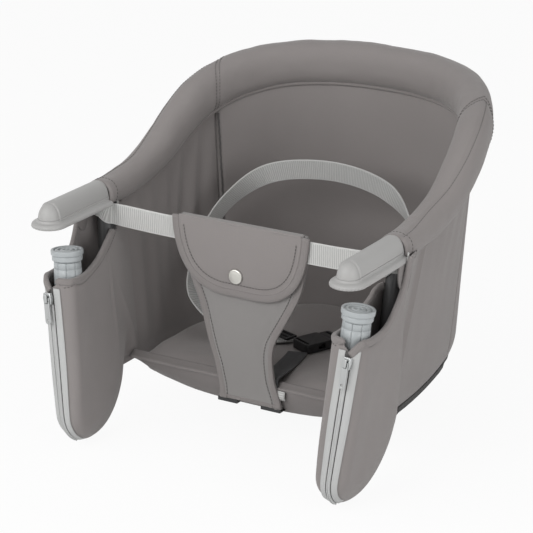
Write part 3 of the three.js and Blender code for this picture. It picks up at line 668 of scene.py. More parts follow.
def arm_seam(from_middle):
    """Angle of the long seam that runs forwards along each arm."""
    return math.radians(63 + 15 * bump(from_middle / rail.total[-1] - 0.345, 0.04))


RIM_POINTS = 72


def rim_ring(u, inset=0.0):
    """The rim's section at one place: a squared oval, pinched at the seams, with a little slack."""
    centre, side, up, share = rim_frame(u)
    wide, high, drop = rim_size(share)
    from_middle = abs(u - 0.5) * rail.total[-1]
    ring = []
    for j in range(RIM_POINTS):
        a = 2 * math.pi * j / RIM_POINTS
        off = from_middle - cross_seam(a)
        pinch = inset + 0.9 * bump(off, 1.9)
        if off > 0:
            pinch += 0.8 * bump(math.remainder(a - arm_seam(from_middle), 2 * math.pi) * 16, 1.6)
        c, s = math.cos(a), math.sin(a)
        sharp = (abs(c) ** 2.3 + abs(s) ** 2.3) ** (-1 / 2.3)
        p = centre + side * (wide - pinch) * sharp * c + up * ((high - pinch) * sharp * s - drop)
        out = (side * c + up * s).normalized()
        soft = noise.noise(p * 0.03) * 0.9 + noise.noise(p * 0.085) * 0.35
        ring.append(p + out * soft * min(1.0, (1 - share) * 12))
    return ring


rim_rows = [rim_ring(u) for u in evenly(1 - RIM_END, RIM_END, 300)]
head = [rim_ring(mix(1 - RIM_END, RIM_END, 0.012), 4.0), rim_ring(1 - RIM_END, 3.4), rim_ring(1 - RIM_END, 1.2)]
tail = [rim_ring(RIM_END, 1.2), rim_ring(RIM_END, 3.4), rim_ring(mix(1 - RIM_END, RIM_END, 0.988), 4.0)]
rim = skin("rim_sleeve", head + rim_rows[1:-1] + tail)
dressed(rim, shell_cloth, nodes=["rim_cover"])
print("rim sleeve:", len(rim.data.polygons), "faces")

# %% [markdown]
# ## Shell walls
# The bucket's walls are cloth panels that hang from the rim and are sewn to a stiff base. Every
# point of a wall is a mix of its foot on the base and its top under the rim. The back panel holds
# wadding, so it is crowned and pulled in along its seams. The sides are thinner and hang in folds
# that start where the rim turns.

# %% Wall shape
FOOT_Z = -175.65
FEET = Route([(0, 268, 0), (52, 265, 0), (90, 248, 0), (112, 214, 0), (123, 165, 0), (130, 110, 0),
              (133, 60, 0), (136, 34.6, 0)], 300)
SEAM = 0.515
BACK_T, SIDE_T = 8.4, 3.6


def wall_point(s, v, inset):
    """A point of the walls: s round the seat, v from the foot (0) to the rim (1), inset from the outer face."""
    share = abs(s)
    foot = FEET.at_knot(share)
    ahead = FEET.at_knot(min(share + 0.004, 1.0)) - FEET.at_knot(max(share - 0.004, 0.0))
    out = Vector((-ahead.y, ahead.x, 0)).normalized()
    if out.dot(Vector((foot.x, foot.y - 147, 0))) < 0:
        out.negate()
    centre, _, up, rim_share = rim_frame(mix(0.5, RIM_WALL_END, share))
    _, high, drop = rim_size(rim_share)
    top = centre - Vector((0, 0, 1)) * ((high + drop) / up.z + 1.5 - 5.0)
    tuck = 9 * (1 - min(v / 0.13, 1)) ** 2
    base = Vector((foot.x, foot.y, FOOT_Z + 11 * ease((52 - foot.y) / 18))) + out * 9
    point = base.lerp(top, v) - out * (tuck + inset)
    return Vector((point.x if s >= 0 else -point.x, point.y, point.z))


print("the base is", round(2 * FEET.at_knot(1).x), "mm wide between the walls' feet")

# %% [markdown]
# The side cloth hangs in long folds. Each is a line down the wall with a rise and a width. It fades
# in below the rim and out above its lower end, and has a hollow behind it.

# %% Folds
FOLDS = [((172, 44), (150, -60), 2.4, 8), ((146, 26), (126, -50), 2.6, 7), ((118, 6), (104, -90), 2.0, 9),
         ((92, 0), (84, -120), 1.6, 10), ((186, 20), (178, -90), 1.4, 9), ((66, -6), (62, -130), 1.8, 9)]


def folds(y, z):
    """How far the side cloth swells, in millimetres, at a height and depth."""
    swell = 0.0
    for (y0, z0), (y1, z1), rise, width in FOLDS:
        line_y = mix(y0, y1, clamp((z0 - z) / (z0 - z1)))
        fade = ease((z0 + 16 - z) / 30) * (1 - ease((z1 + 10 - z) / 50))
        swell += rise * fade * (bump(y - line_y, width) - 0.7 * bump(y - line_y - width * 1.5, width))
    return swell


print("folds:", len(FOLDS))

# %% [markdown]
# A wall is one closed skin. Its inner face is crowned by the wadding and held down along all four
# seams; its outer face stays near the surface that the route of feet and the rim describe.

# %% Walls
def wall_panel(name, s0, s1, columns, thickness, crown, folded):
    """One closed wall between two shares s of the way round, from -1 (left front) to 1 (right front)."""
    rows = 60
    shell = []
    for i in range(columns + 1):
        s = mix(s0, s1, i / columns)
        across = min(i, columns - i) / columns * abs(s1 - s0) * 470
        inner, outer = [], []
        for k in range(rows + 1):
            v = k / rows
            edge = min(across, min(v, 1 - v) * 240 + 3)
            full = 1 - math.exp(-edge / 7.0)
            swell = crown * (1 - math.exp(-edge / 28.0))
            p = wall_point(s, v, 0)
            wave = folds(p.y, p.z) if folded else noise.noise(p * 0.02) * 0.9
            pucker = 0.0
            if not folded and across < 16:
                pucker = 0.7 * math.sin(p.z * 0.85) * math.exp(-across / 5.0)
            inner.append(wall_point(s, v, thickness * mix(0.75, 1, full) + swell + wave * full + pucker))
            outer.append(wall_point(s, v, -0.6 * full - 0.2 * wave * full))
        shell.append(inner + outer[::-1])
    return skin(name, shell)


back = wall_panel("back_pad", -SEAM + 0.001, SEAM - 0.001, 110, BACK_T, 3.2, False)
dressed(back, shell_cloth, nodes=["back_panel"])
for side, s0, s1 in (("left", -1.0, -SEAM - 0.001), ("right", SEAM + 0.001, 1.0)):
    panel = wall_panel(side + "_wall", s0, s1, 70, SIDE_T, 0.4, True)
    dressed(panel, shell_cloth, nodes=[side + "_side_panel"])
# A thin near-black tube down each seam between the back and the side walls: painted shadow in the seam.
for side in (-1, 1):
    line = [wall_point(side * SEAM, v, 7.2) for v in evenly(0.13, 0.97, 80)]
    line = [p + Vector((0, 0.35, 0)) * math.sin(p.z * 0.85) for p in line]
    dressed(pipe(("left" if side < 0 else "right") + "_back_seam_shadow", line, 0.8, 8), shadow_cloth)
print("walls:", len(back.data.polygons) + 2 * len(panel.data.polygons), "faces")

# %% [markdown]
# ## Piping
# Where the rim meets the walls, a folded strip of cloth is caught in the seam as flat piping. It
# is a thin tube that follows the underside of the rim a little inward, and it hides the joint.

# %% Rim piping
def rim_edge(u, inward, down):
    """A place on the rim's underside, in shares of its half width and half height."""
    centre, side, up, share = rim_frame(u)
    wide, high, drop = rim_size(share)
    inner = side if side.dot(Vector((centre.x, centre.y - 130, 0))) < 0 else -side
    return centre + inner * wide * inward - up * (high * down + drop)


for name, inward_share, radius in (("rim_piping", 0.52, 1.9), ("rim_outer_piping", -0.45, 1.5)):
    line = [rim_edge(u, inward_share, 0.93) for u in evenly(1 - RIM_WALL_END, RIM_WALL_END, 200)]
    dressed(pipe(name, line, radius, 10), edge_cloth)
print("rim piping:", len(line), "points on each line")

# %% [markdown]
# ## Seat cushion
# A stuffed cushion swells where nothing holds it and pulls in at its seams, so this one is really
# inflated: a thin slab cut to the seat's outline is remeshed, given a cloth simulation with
# pressure and no gravity, and stopped after twenty steps. How far each point may move is capped,
# so that the cushion stays inside the walls. Piping goes on afterwards, along the front edges.

# %% Seat outline
SEAT_TOP = -152.65
FRONT_Y = 28.2
CORNER_CUT = 9.0


def seat_ring(z, inset, within=1.0):
    """The outline of the space inside the walls at one height; within=0 takes it out to their backs."""
    ring = []
    for s in evenly(-1, 1, 48):
        centre = rim_frame(mix(0.5, RIM_WALL_END, abs(s)))[0]
        v = max(0.0, (z - FOOT_Z) / (centre.z - 18 - FOOT_Z))
        wall = (SIDE_T if abs(s) > SEAM + 0.04 else BACK_T) * within
        point = wall_point(s, v, inset + wall)
        ring.append(Vector((point.x, point.y, z)))
    edge, front = ring[-1].x, FRONT_Y + inset * 0.4
    ring += [Vector((edge, front + 5, z)), Vector((edge - CORNER_CUT, front, z)),
             Vector((CORNER_CUT - edge, front, z)), Vector((-edge, front + 5, z))]
    return ring


def evened(ring, count):
    """The same outline with points at even spacing."""
    total = lengths(ring, True)
    closed, result, k = ring + ring[:1], [], 0
    for i in range(count):
        goal = total[-1] * i / count
        while total[k + 1] < goal:
            k += 1
        result.append(closed[k].lerp(closed[k + 1], (goal - total[k]) / max(total[k + 1] - total[k], 1e-9)))
    return result


print("the seat's outline is", round(lengths(seat_ring(SEAT_TOP, 8), True)[-1]), "mm round")

# %% [markdown]
# The slab's four outlines are a little smaller at the bottom and at the top. After the simulation
# the cushion is lifted a few millimetres beside the walls, where a stuffed seat rides up.

# %% Seat cushion
def inflated(piece, voxel, pressure, cap):
    """Swells a closed piece as stuffed cloth, and lets no point move more than cap millimetres."""
    modified(piece, "REMESH", mode="VOXEL", voxel_size=voxel)
    before = [v.co.copy() for v in piece.data.vertices]
    sim = piece.modifiers.new("cloth", "CLOTH")
    stuffing = {"quality": 6, "mass": 0.2, "tension_stiffness": 18, "compression_stiffness": 18,
                "bending_stiffness": 0.6, "use_pressure": True, "uniform_pressure_force": pressure}
    for key, value in stuffing.items():
        setattr(sim.settings, key, value)
    sim.settings.effector_weights.gravity = 0.0
    sim.point_cache.frame_start, sim.point_cache.frame_end = 1, 20
    for step in range(1, 21):
        bpy.context.scene.frame_set(step)
    apply(piece)
    bpy.context.scene.frame_set(1)
    for vertex, start in zip(piece.data.vertices, before):
        move = vertex.co - start
        vertex.co = start + move * min(1.0, cap * MM / max(move.length, 1e-9))
    piece.data.shade_smooth()
    return modified(piece, "SUBSURF", levels=1, render_levels=1)


VOXEL, PRESSURE, CAP = 0.0052, 4.0, 5.0
layers = [(FOOT_Z + 2.4, 11), (FOOT_Z + 4, 5.5), (SEAT_TOP - 8, 5.0), (SEAT_TOP - 5.2, 8)]
cushion = skin("seat_cushion_pad", [evened(seat_ring(z, inset), 120) for z, inset in layers])
cushion = inflated(cushion, VOXEL, PRESSURE, CAP)
for vertex in cushion.data.vertices:
    x, y, z = vertex.co / MM
    by_wall = bump(abs(x) - 126 + 0.1 * max(y - 60, 0), 20) * ease((y - 30) / 40) * ease((200 - y) / 60)
    vertex.co.z += 4.5 * MM * by_wall * ease((z + 168) / 10)
dressed(cushion, soft_cloth, nodes=["seat_cushion"])
heights = [v.co.z / MM for v in cushion.data.vertices]
print("cushion swells from", round(min(heights), 1), "to", round(max(heights), 1), "mm")

# %% Cushion piping
FOLD_Y, FOLD_Z, SKIRT_HALF = 27.0, -159.6, 139.0
fold_line = [Vector((x, FOLD_Y, FOLD_Z)) for x in evenly(-SKIRT_HALF, SKIRT_HALF, 90)]
fold_line = [p + Vector((0, 0.7, 0.5)) * noise.noise(p * 0.03) for p in fold_line]
dressed(pipe("cushion_piping", fold_line, 1.5, 10), edge_cloth)
print("cushion piping:", 2 * SKIRT_HALF, "mm wide")

# %% [markdown]
# ## Front skirt
# Below the piping the same cloth goes down over the edge of the base and is pinned under it. The
# skirt gets lower in the middle than at its ends, and swells a little between its two seams.

# %% Front skirt
HEM = Route([(0, 0, -184.4), (34, 0, -184.2), (67, 0, -182.2), (92, 0, -178.8), (110, 0, -175.6), (120, 0, -172.6),
             (129, 0, -167.6), (139, 0, -162.0)], 200)


def skirt_point(x, t):
    """t is 0 just behind the piping, 0.2 at it, 0.85 at the lower edge and 1 under the base."""
    bend = (abs(x) / 115) ** 2.1
    low = Vector((x, 34.0 + 3.0 * bend, min(HEM.line, key=lambda p: abs(p.x - abs(x))).z))
    top = Vector((x, FOLD_Y + 0.8, FOLD_Z))
    if t < 0.2:
        return top + Vector((0, 7.0, 4.6)) * (1 - t / 0.2) ** 1.2
    if t > 0.85:
        under = (t - 0.85) / 0.15
        return low + Vector((0, 9.0 * under, -0.4 * math.sin(math.pi * under) + 0.9 * under))
    down_share = (t - 0.2) / 0.65
    swell = 1.5 * math.sin(math.pi * down_share) + noise.noise(Vector((x * 0.03, down_share * 1.5, 4.0))) * 0.8
    return top.lerp(low, down_share ** 1.5 * 0.6 + down_share * 0.4) - Vector((0, swell, 0)) \
        + Vector((0, 0, (low.z - top.z) * (down_share - down_share ** 1.5) * 0.6))


skirt_rows = [[skirt_point(x, t) for x in evenly(-SKIRT_HALF, SKIRT_HALF, 120)] for t in evenly(0, 1, 40)]
skirt = thick(outward(grid("front_skirt", skirt_rows)), 1.0)
# The skirt takes the darkened shell cloth, as painted shade.
dressed(skirt, painted_shade_skirt_cloth)
print("skirt:", len(skirt.data.polygons), "faces")

# %% [markdown]
# ## Base board
# A stiff board sits inside a dark cloth cover under the cushion. Its edge is rounded over by the
# cloth, so the outline is lofted through a few heights. Outside, a dark strip is sewn round the
# sides and the back, over the lower edge of the walls.

# %% Base board
levels = [(-182.0, 3.5), (-181.6, 1.4), (-180.2, 0.2), (-177.6, 0.1), (-176.2, 1.0)]
base_rings = []
for z, inset in levels:
    ring = [p for p in seat_ring(z, inset, 0)[:49] if p.y > 70]
    edge = ring[-1].x + 2.5
    corner = [(edge, 76), (edge - 14, 62), (edge - 36, 52), (edge - 62, 45), (edge - 94, 38 + inset)]
    ring += [Vector((x, y, z)) for x, y in corner] + [Vector((-x, y, z)) for x, y in corner[::-1]]
    base_rings.append(evened(ring, 200))
base = skin("base_cover", base_rings)
dressed(base, underside, "seat", ["base_board"])
print("base cover:", len(base.data.polygons), "faces")

# %% Base strip
STRIP = [(-181.9, 2.0), (-181.8, 0.2), (-181.0, -0.7), (-178.0, -1.2), (-175.0, -1.6), (-172.0, -2.0),
         (-170.6, -1.9), (-170.1, -1.3), (-170.4, -0.4), (-174.0, 0.2), (-179.0, 1.2)]
around = [seat_ring(z, inset, 0)[:49] for z, inset in STRIP]
strip_rows = [[around[k][i] for k in range(len(STRIP))] for i in range(49) if around[0][i].y > 62]
strip = skin("base_strip", strip_rows)
dressed(strip, underside, "seat")
print("base strip:", len(strip.data.polygons), "faces")

# %% [markdown]
# ## Pockets round the hook arms
# Each side cloth runs on forwards as a soft bag that hides the hook arm. Seen from the side it is a
# long tongue, so one U-shaped line gives its edge and two swooping lines give the outer and inner
# lips of its mouth. Cloth is stretched between the edge and the lips. How thick the bag is depends
# only on how far a point lies from the edge: a round nose in front, where the zip is, and a flat
# seam below and behind. The right bag is made first, and the left one is its mirror image.

# %% Pocket outline
def cubic(a, b, c, d, steps):
    """A cubic curve from a to d that leaves towards b and arrives from c."""
    a, b, c, d = Vector(a), Vector(b), Vector(c), Vector(d)
    return [a * (1 - t) ** 3 + b * 3 * t * (1 - t) ** 2 + c * 3 * t * t * (1 - t) + d * t ** 3
            for t in evenly(0, 1, steps)]


u_line = [Vector(p) for p in ((-70.5, -52.5), (-71.2, -62), (-72.5, -85), (-75.5, -130), (-79, -186))]
u_line += cubic((-79, -186), (-80, -206), (-62, -222), (-36, -222), 16)[1:]
u_line += cubic((-36, -222), (-12, -222), (10, -206), (21, -180), 14)[1:]
u_line += cubic((21, -180), (28, -162), (32, -134), (32, -104), 8)[1:]
u_line += [Vector((31, -70)), Vector((31, -40)), Vector((31, -20)), Vector((31, 1))]
outer_lip = [(-55, -54), (-44, -53.4), (-33, -51), (-24, -46.5), (-16, -39), (-10, -31), (-5, -22), (-1, -11),
             (3, 1), (6, 7)]
inner_lip = [(-55, -53), (-44, -52.6), (-33, -50.4), (-24, -47), (-14, -41.5), (-5, -36), (3, -30), (9, -25), (13, -20)]
u_route = Route([(0, p.x, p.y) for p in u_line], 300)
lips = {1: Route([(0, y, z) for y, z in outer_lip], 200), -1: Route([(0, y, z) for y, z in inner_lip], 200)}
EDGE_STEPS = 1500
edge_tree = KDTree(EDGE_STEPS + 1)
for i, point in enumerate(u_route.spaced(EDGE_STEPS)):
    edge_tree.insert(point, i)
edge_tree.balance()
print("bag edge:", round(u_route.total[-1]), "mm round the U")


# %% Pocket shape
BAG_X, BAG_LEAN, BAG_TURN, BAG_HALF = 161.5, 0.09, 0.04, 17.4
ZIP_X, ZIP_LEAN, ZIP_LEVEL = 160.5, 0.121, -70
NOSE_SHARE, NOSE_FADE = 0.3, 0.14


def pocket_x(z, y=-70.0):
    """The middle of the bag; it bears outwards towards the side wall."""
    return BAG_X + BAG_LEAN * z + BAG_TURN * (y + 70)


def zip_x(z):
    """The zip's own line down the nose."""
    return ZIP_X + ZIP_LEAN * (z - ZIP_LEVEL)


def pocket_half(z, y):
    """Half the bag's thickness where it is full."""
    return BAG_HALF - 2.2 * ease((-150 - z) / 70) - 0.01 * (y + 70)


def lip_share(t):
    """Most of the U belongs to the front of the mouth; its rear limb feeds the rear."""
    return ease(t) * 0.55 + t * 0.45


def bag_section(y, z, where, side):
    """At a place on the U: where the edge stands, and how deep, broad and square the bag's side is."""
    nose = 1 - ease((where - NOSE_SHARE) / NOSE_FADE)
    seam = mix(pocket_x(z, y) + 1.0, zip_x(z), nose)
    full = abs(pocket_x(z, y) + side * pocket_half(z, y) - seam)
    return seam, full, mix(30.0, 14.0 if side > 0 else 12.0, nose), mix(1.75, 2.0 if side > 0 else 3.0, nose)


def face_x(y, z, side):
    """How far out the bag's outer (1) or inner (-1) face stands."""
    _, index, gap = edge_tree.find(Vector((0, y, z)))
    seam, full, reach, power = bag_section(y, z, index / EDGE_STEPS, side)
    rise = (1 - (1 - min(gap / reach, 1.0)) ** power) ** (1 / power)
    slack = noise.noise(Vector((y * 0.024, z * 0.017, side * 5.0))) * 2.2
    slack += noise.noise(Vector((y * 0.055, z * 0.03, side * 9.0))) * 0.6
    slack = slack * 0.4 + 0.8 if side < 0 and y > 0 else slack
    return seam + side * (full * rise + slack * ease((gap - 6) / 26))


print("the zip stands", round(zip_x(-100), 1), "mm out at z -100")

# %% [markdown]
# The bag's rear limb is sewn to the side wall. Where it lands there is found once for every
# centimetre of height, and read between those heights afterwards.

# %% Landing on the wall
def wall_x(y, z, inset):
    """How far out the side wall stands at a place, at a depth into its cloth."""
    low, high = 0.5, 1.0
    for _ in range(14):
        s = (low + high) / 2
        v = (z - FOOT_Z) / (wall_point(s, 1.0, 0).z - FOOT_Z)
        p = wall_point(s, clamp(v), inset)
        low, high = (s, high) if p.y > y else (low, s)
    return p.x


LAND_LOW, LAND_STEP, LAND_STEPS = -180, 10, 18
LAND_DEPTH, LAND_INSET = {1: (40, 74), -1: (46, 46)}, {1: -1.1, -1: 4.5}
LANDINGS = {(side, k): wall_x(mix(*LAND_DEPTH[side], k / LAND_STEPS), LAND_LOW + k * LAND_STEP, LAND_INSET[side])
            for side in (1, -1) for k in range(LAND_STEPS + 1)}


def landing(side, z):
    """Where a face of the bag meets the side wall, as (x, y)."""
    place_on = min(max((z - LAND_LOW) / LAND_STEP, 0.0), LAND_STEPS - 0.001)
    k = int(place_on)
    x = mix(LANDINGS[side, k], LANDINGS[side, k + 1], place_on - k)
    return x, mix(*LAND_DEPTH[side], place_on / LAND_STEPS)


print("landings:", len(LANDINGS))

# %% [markdown]
# One function gives any point of either face, by its place round the U and its share of the way
# from the edge to the lip. The stitches and bindings use it too, so they always lie on the cloth.

# %% One face of the bag
def pocket_side(t, r, side, lift=0.0):
    """A point of one face: r is 0 at the bag's edge and 1 at the lip."""
    edge, lip = u_route.at(t), lips[side].at(lip_share(t))
    joined_on = ease((edge.z + (178 if side > 0 else 172)) / (24 if side > 0 else 16)) if t > 0.6 else 0.0
    land_x, land_y = landing(side, edge.z)
    start = Vector((0, mix(edge.y, land_y, joined_on), edge.z))
    p = start.lerp(lip, r)
    if side < 0 and p.z > -31:
        p.z = -31 + 5.0 * (1 - math.exp(-(p.z + 31) / 5.0))
    x = face_x(p.y, p.z, side)
    from_lip = (1 - r) * (start - lip).length
    lift -= 0.55 * bump(from_lip - 8.0, 1.2)
    if joined_on > 0:
        full = pocket_x(p.z, p.y) + side * pocket_half(p.z, p.y)
        turn = ease((p.y + 2) / (land_y + 2))
        over = mix(full, land_x, turn)
        behind = clamp((p.y + 6) / 14)
        if side > 0:
            over += 3.4 * bump(land_y - p.y - 4, 4)
        x = mix(x, over, joined_on * behind)
    return Vector((x + side * lift, p.y, p.z))


print("a point of the outer face:", [round(c, 1) for c in pocket_side(0.3, 0.5, 1)])

# %% [markdown]
# The cloth is a grid of rows that run from the outer lip, round the edge, to the inner lip. Above
# the zip the first rows dip into a small notch. The finished sheet gets a lining inside.

# %% Pocket cloth
ROWS, COLUMNS = 120, 56
NOTCH, NOTCH_HALF = 11.0, 9.0


def pocket_row(t, shares, lift=0.0):
    """Outer lip to inner lip, dipping into the notch above the zip."""
    row = []
    for side, order in ((1, shares[::-1]), (-1, shares[1:])):
        for r in order:
            p = pocket_side(t, r, side, lift)
            from_zip = abs(p.x - zip_x(p.z))
            dip = NOTCH / u_route.total[-1] * max(1 - from_zip / NOTCH_HALF, 0.0) * max(1 - t / 0.14, 0.0)
            row.append(pocket_side(t + dip, r, side, lift) if dip > 0 and t < 0.14 else p)
    return row


def edge_normal(t):
    """Away from the bag, square to its edge."""
    middle = Vector((0, -25, -120))
    out = Vector((0, u_route.along(t).z, -u_route.along(t).y))
    return out if out.dot(u_route.at(t) - middle) > 0 else -out


shares = [ease(r) for r in evenly(0, 1, COLUMNS)]
bag = outward(grid("right_pocket_cloth", [pocket_row(t, shares) for t in evenly(0, 1, ROWS)]))


bag_middle = Vector((pocket_x(-120), -25, -120))
if sum((face.center / MM - bag_middle).dot(face.normal) * face.area for face in bag.data.polygons) < 0:
    bag.data.flip_normals()
bag.data.materials.append(shell_cloth)
bag.data.materials.append(lining)
modified(bag, "SOLIDIFY", thickness=1.6 * MM, offset=-1, material_offset=1, material_offset_rim=0)
print("pocket:", len(bag.data.polygons), "faces")


# %% [markdown]
# ## Bound edges
# Raw cloth edges are wrapped in a folded strip and stitched. In section the strip is a thin rounded
# slab that straddles the edge, so one helper sweeps that slab along any edge, told which way is
# down into the cloth and which way is out of its face.

# %% Binding helper
def bound(name, points, outs, width, thickness, tip, into=None):
    """A folded strip over an edge. outs are the cloth's normals along it; into points down into it."""
    fold = [(-tip * math.sin(a), thickness / 2 * math.cos(a)) for a in (math.pi * k / 8 for k in range(9))]
    leg = [(width * 0.5, -thickness * 0.5), (width - 0.8, -thickness * 0.44), (width, -thickness * 0.2)]
    section = fold + leg + [(d, -o) for d, o in leg[::-1]]
    rows = []
    for i, point in enumerate(points):
        along = heading(points, i)
        out = (outs[i] - along * outs[i].dot(along)).normalized()
        down = along.cross(out)
        if into is not None and down.dot(into) < 0:
            down.negate()
        rows.append([point + down * d + out * o for d, o in section])
    return skin(name, rows)


def mouth_path(side, depth=0.0, lift=-0.8):
    """Along one lip from the back to the front, then round the nose down into the notch."""
    points, outs = [], []
    for t in evenly(1, 0, 90):
        span = (u_route.at(t) - lips[side].at(lip_share(t))).length
        points.append(pocket_side(t, 1 - depth / max(span, depth + 1), side, lift))
        outs.append(Vector((side, 0, 0.096 * side)).normalized())
    nose = sorted((k / 24) ** 2 for k in range(1, 24))
    row = pocket_row(depth / u_route.total[-1], nose, lift)
    half_row = row[:len(nose)] if side > 0 else row[len(nose):][::-1]
    for p in half_row:
        points.append(p)
        middle = Vector((pocket_x(p.z), -48, p.z))
        outs.append((p - middle).normalized())
    return points, outs


down_in = Vector((0, 0.25, -1))
bindings = []
for side, name in ((1, "mouth_binding_out"), (-1, "mouth_binding_in")):
    points, outs = mouth_path(side)
    bindings.append(bound(name, points, outs, 5.4, 4.4, 1.6, down_in))
mouth = joined("right_mouth_binding", bindings)
print("mouth binding:", len(mouth.data.polygons), "faces")

# %% Dressing both pockets
def pair(piece, finish, nodes=(), body="seat"):
    """Dresses a right-hand piece and makes its left-hand twin; nodes and body say 'right'."""
    twin = mirrored(piece, piece.name.replace("right", "left"))
    dressed(piece, finish, body, nodes)
    dressed(twin, finish, body.replace("right", "left"), [n.replace("right", "left") for n in nodes])
    return piece, twin


for cloth_bag in pair(bag, shell_cloth, ["right_pocket"]):
    cloth_bag.data.materials.append(lining)
pair(mouth, edge_cloth)

# %% [markdown]
# ## Zips
# A zip runs down the front gusset of each pocket and turns under its tip. Two woven tapes meet
# over the coil, so what shows is a light band with a ridge down its middle and a dark groove on each
# side of the ridge; a near-black strip laid under the gaps paints the shadow in these grooves. The
# coil under the ridge is many small ribs at one spacing, which is a job for a node group that walks
# along a line.

# %% Zip tape
ZIP_TOP, ZIP_END = (edge_tree.find(Vector(p))[1] / EDGE_STEPS for p in ((0, -71.2, -61.5), (0, -62, -216)))


def zip_point(t, across, lift):
    """A place on the zip: t down it, across from -1 (inner edge) to 1 (outer edge), lift off the cloth."""
    where = mix(ZIP_TOP, ZIP_END, t)
    edge, out = u_route.at(where), edge_normal(where)
    side = 1 if across > 0 else -1
    seam, full, reach, power = bag_section(edge.y, edge.z, where, side)
    broad = mix(8.8 if side > 0 else 10.4, 7.4 if side > 0 else 8.0, ease((t - 0.35) / 0.6))
    wide = min(abs(across) * broad, 0.9 * full)
    fall = reach * (1 - (1 - (wide / full) ** power) ** (1 / power))
    tilt = math.asin((wide / full) ** (power - 1))
    off = out * math.cos(tilt) + Vector((side * math.sin(tilt), 0, 0))
    return Vector((seam + side * wide, edge.y, edge.z)) - out * fall + off * (0.4 + lift)


def zip_strip(name, profile, start=0.0):
    """A strip down the zip from (across, lift) pairs."""
    rows = [[zip_point(t, a, h) for a, h in profile] for t in evenly(start, 1.0, 90)]
    return skin(name, rows)


half = [(0.36, 0.95), (0.44, 0.9), (0.60, 0.92), (0.96, 0.9), (1.0, 0.6), (1.0, 0.1), (0.34, 0.1), (0.34, 0.8)]
tape_right = zip_strip("zip_half_a", half)
tape_left = zip_strip("zip_half_b", [(-a, h) for a, h in half])
tape = joined("right_zip_tape_cloth", [tape_right, tape_left])
ridge = zip_strip("right_zip_ridge", [(-0.23, 0.3), (-0.23, 1.0), (-0.16, 1.7), (-0.04, 1.8), (0.0, 1.3),
                                      (0.04, 1.8), (0.16, 1.7), (0.23, 1.0), (0.23, 0.3)], 0.1)
# A near-black strip under the gaps beside the ridge: painted shadow in the zip's grooves.
groove = zip_strip("right_zip_groove", [(-0.37, 0.2), (-0.37, 0.45), (0.37, 0.45), (0.37, 0.2)])
pair(groove, shadow_cloth)
pair(tape, zip_cloth, ["right_zip_tape"])
pair(ridge, zip_cloth, ["right_zip_chain"])
print("zip tape:", len(tape.data.polygons), "faces")

# %% [markdown]
# ### Repeating details
# Stitches and coil ribs are the same small body set again and again along a line. A node group
# does this: it turns the line's edges into a curve, spaces points along it, sets the body on each
# point facing along the curve, and makes the copies real. Length, spacing and thickness are named
# inputs of the group, so each seam can have its own.

# %% Repeat node group
def repeat_group(name, finish, seed):
    """A node group that sets a small body at even spacing along the lines it is given."""
    group = bpy.data.node_groups.new(name, "GeometryNodeTree")
    face = group.interface
    face.new_socket("Geometry", in_out="INPUT", socket_type="NodeSocketGeometry")
    inputs = {"Spacing": 0.003, "Length": 0.0022, "Radius": 0.0003, "Flatness": 1.0, "Wobble": 0.05}
    for label, value in inputs.items():
        face.new_socket(label, in_out="INPUT", socket_type="NodeSocketFloat").default_value = value
    face.new_socket("Geometry", in_out="OUTPUT", socket_type="NodeSocketGeometry")

    def add(kind, settings, sockets):
        return add_node(group, kind, settings, sockets).outputs

    def times(a, b):
        return add("ShaderNodeMath", {"operation": "MULTIPLY"}, {0: a, 1: b})[0]

    def scaled(vector, factor):
        return add("ShaderNodeVectorMath", {"operation": "SCALE"}, {0: vector, "Scale": factor})[0]

    given = add("NodeGroupInput", {}, {})
    curve = add("GeometryNodeMeshToCurve", {}, {"Mesh": given["Geometry"]})
    even = add("GeometryNodeCurveToPoints", {"mode": "LENGTH"}, {"Curve": curve[0], "Length": given["Spacing"]})
    body = add("GeometryNodeMeshUVSphere", {}, {"Segments": 8, "Rings": 6, "Radius": 0.5})
    least, most = scaled((-1, -1, -1), given["Wobble"]), scaled((1, 1, 1), given["Wobble"])
    wobble = add("FunctionNodeRandomValue", {"data_type": "FLOAT_VECTOR"}, {0: least, 1: most, "Seed": seed})
    turn = add("FunctionNodeRotateRotation", {"rotation_space": "LOCAL"},
               {"Rotation": even["Rotation"], "Rotate By": wobble[0]})
    flat, half_length = times(given["Radius"], given["Flatness"]), times(given["Length"], 0.5)
    size = add("ShaderNodeCombineXYZ", {}, {0: given["Radius"], 1: flat, 2: half_length})
    copies = add("GeometryNodeInstanceOnPoints", {},
                 {"Points": even[0], "Instance": body[0], "Rotation": turn[0], "Scale": scaled(size[0], 2.0)})
    real = add("GeometryNodeRealizeInstances", {}, {"Geometry": copies[0]})
    painted = add("GeometryNodeSetMaterial", {}, {"Geometry": real[0], "Material": finish})
    add("NodeGroupOutput", {}, {0: painted[0]})
    return group


print("inputs of the group: spacing, length, radius, flatness and wobble")

# %% [markdown]
# The group is made twice, once in thread and once in zip cloth. Each use starts from bare lines,
# runs the group along them and keeps the copies as one plain mesh.

# %% Stitches and ribs
stitch_group = repeat_group("stitches", thread, 7)
rib_group = repeat_group("zip_ribs", zip_cloth, 11)


def repeated(name, group, lines, body="seat", slot="shell_fabric", **inputs):
    """Runs a node group along lines of points in millimetres and keeps the result as a plain mesh."""
    verts, edges = [], []
    for line in lines:
        start = len(verts)
        verts += [(p * MM)[:] for p in line]
        edges += [(start + k, start + k + 1) for k in range(len(line) - 1)]
    mesh = bpy.data.meshes.new(name)
    mesh.from_pydata(verts, edges, [])
    piece = place(name, mesh)
    walker = piece.modifiers.new("repeat", "NODES")
    walker.node_group = group
    for item in group.interface.items_tree:
        if item.in_out == "INPUT" and item.name in inputs:
            walker[item.identifier] = inputs[item.name]
    apply(piece)
    piece.data.shade_smooth()
    return entered(piece, body)


print("node groups:", [group.name for group in bpy.data.node_groups])

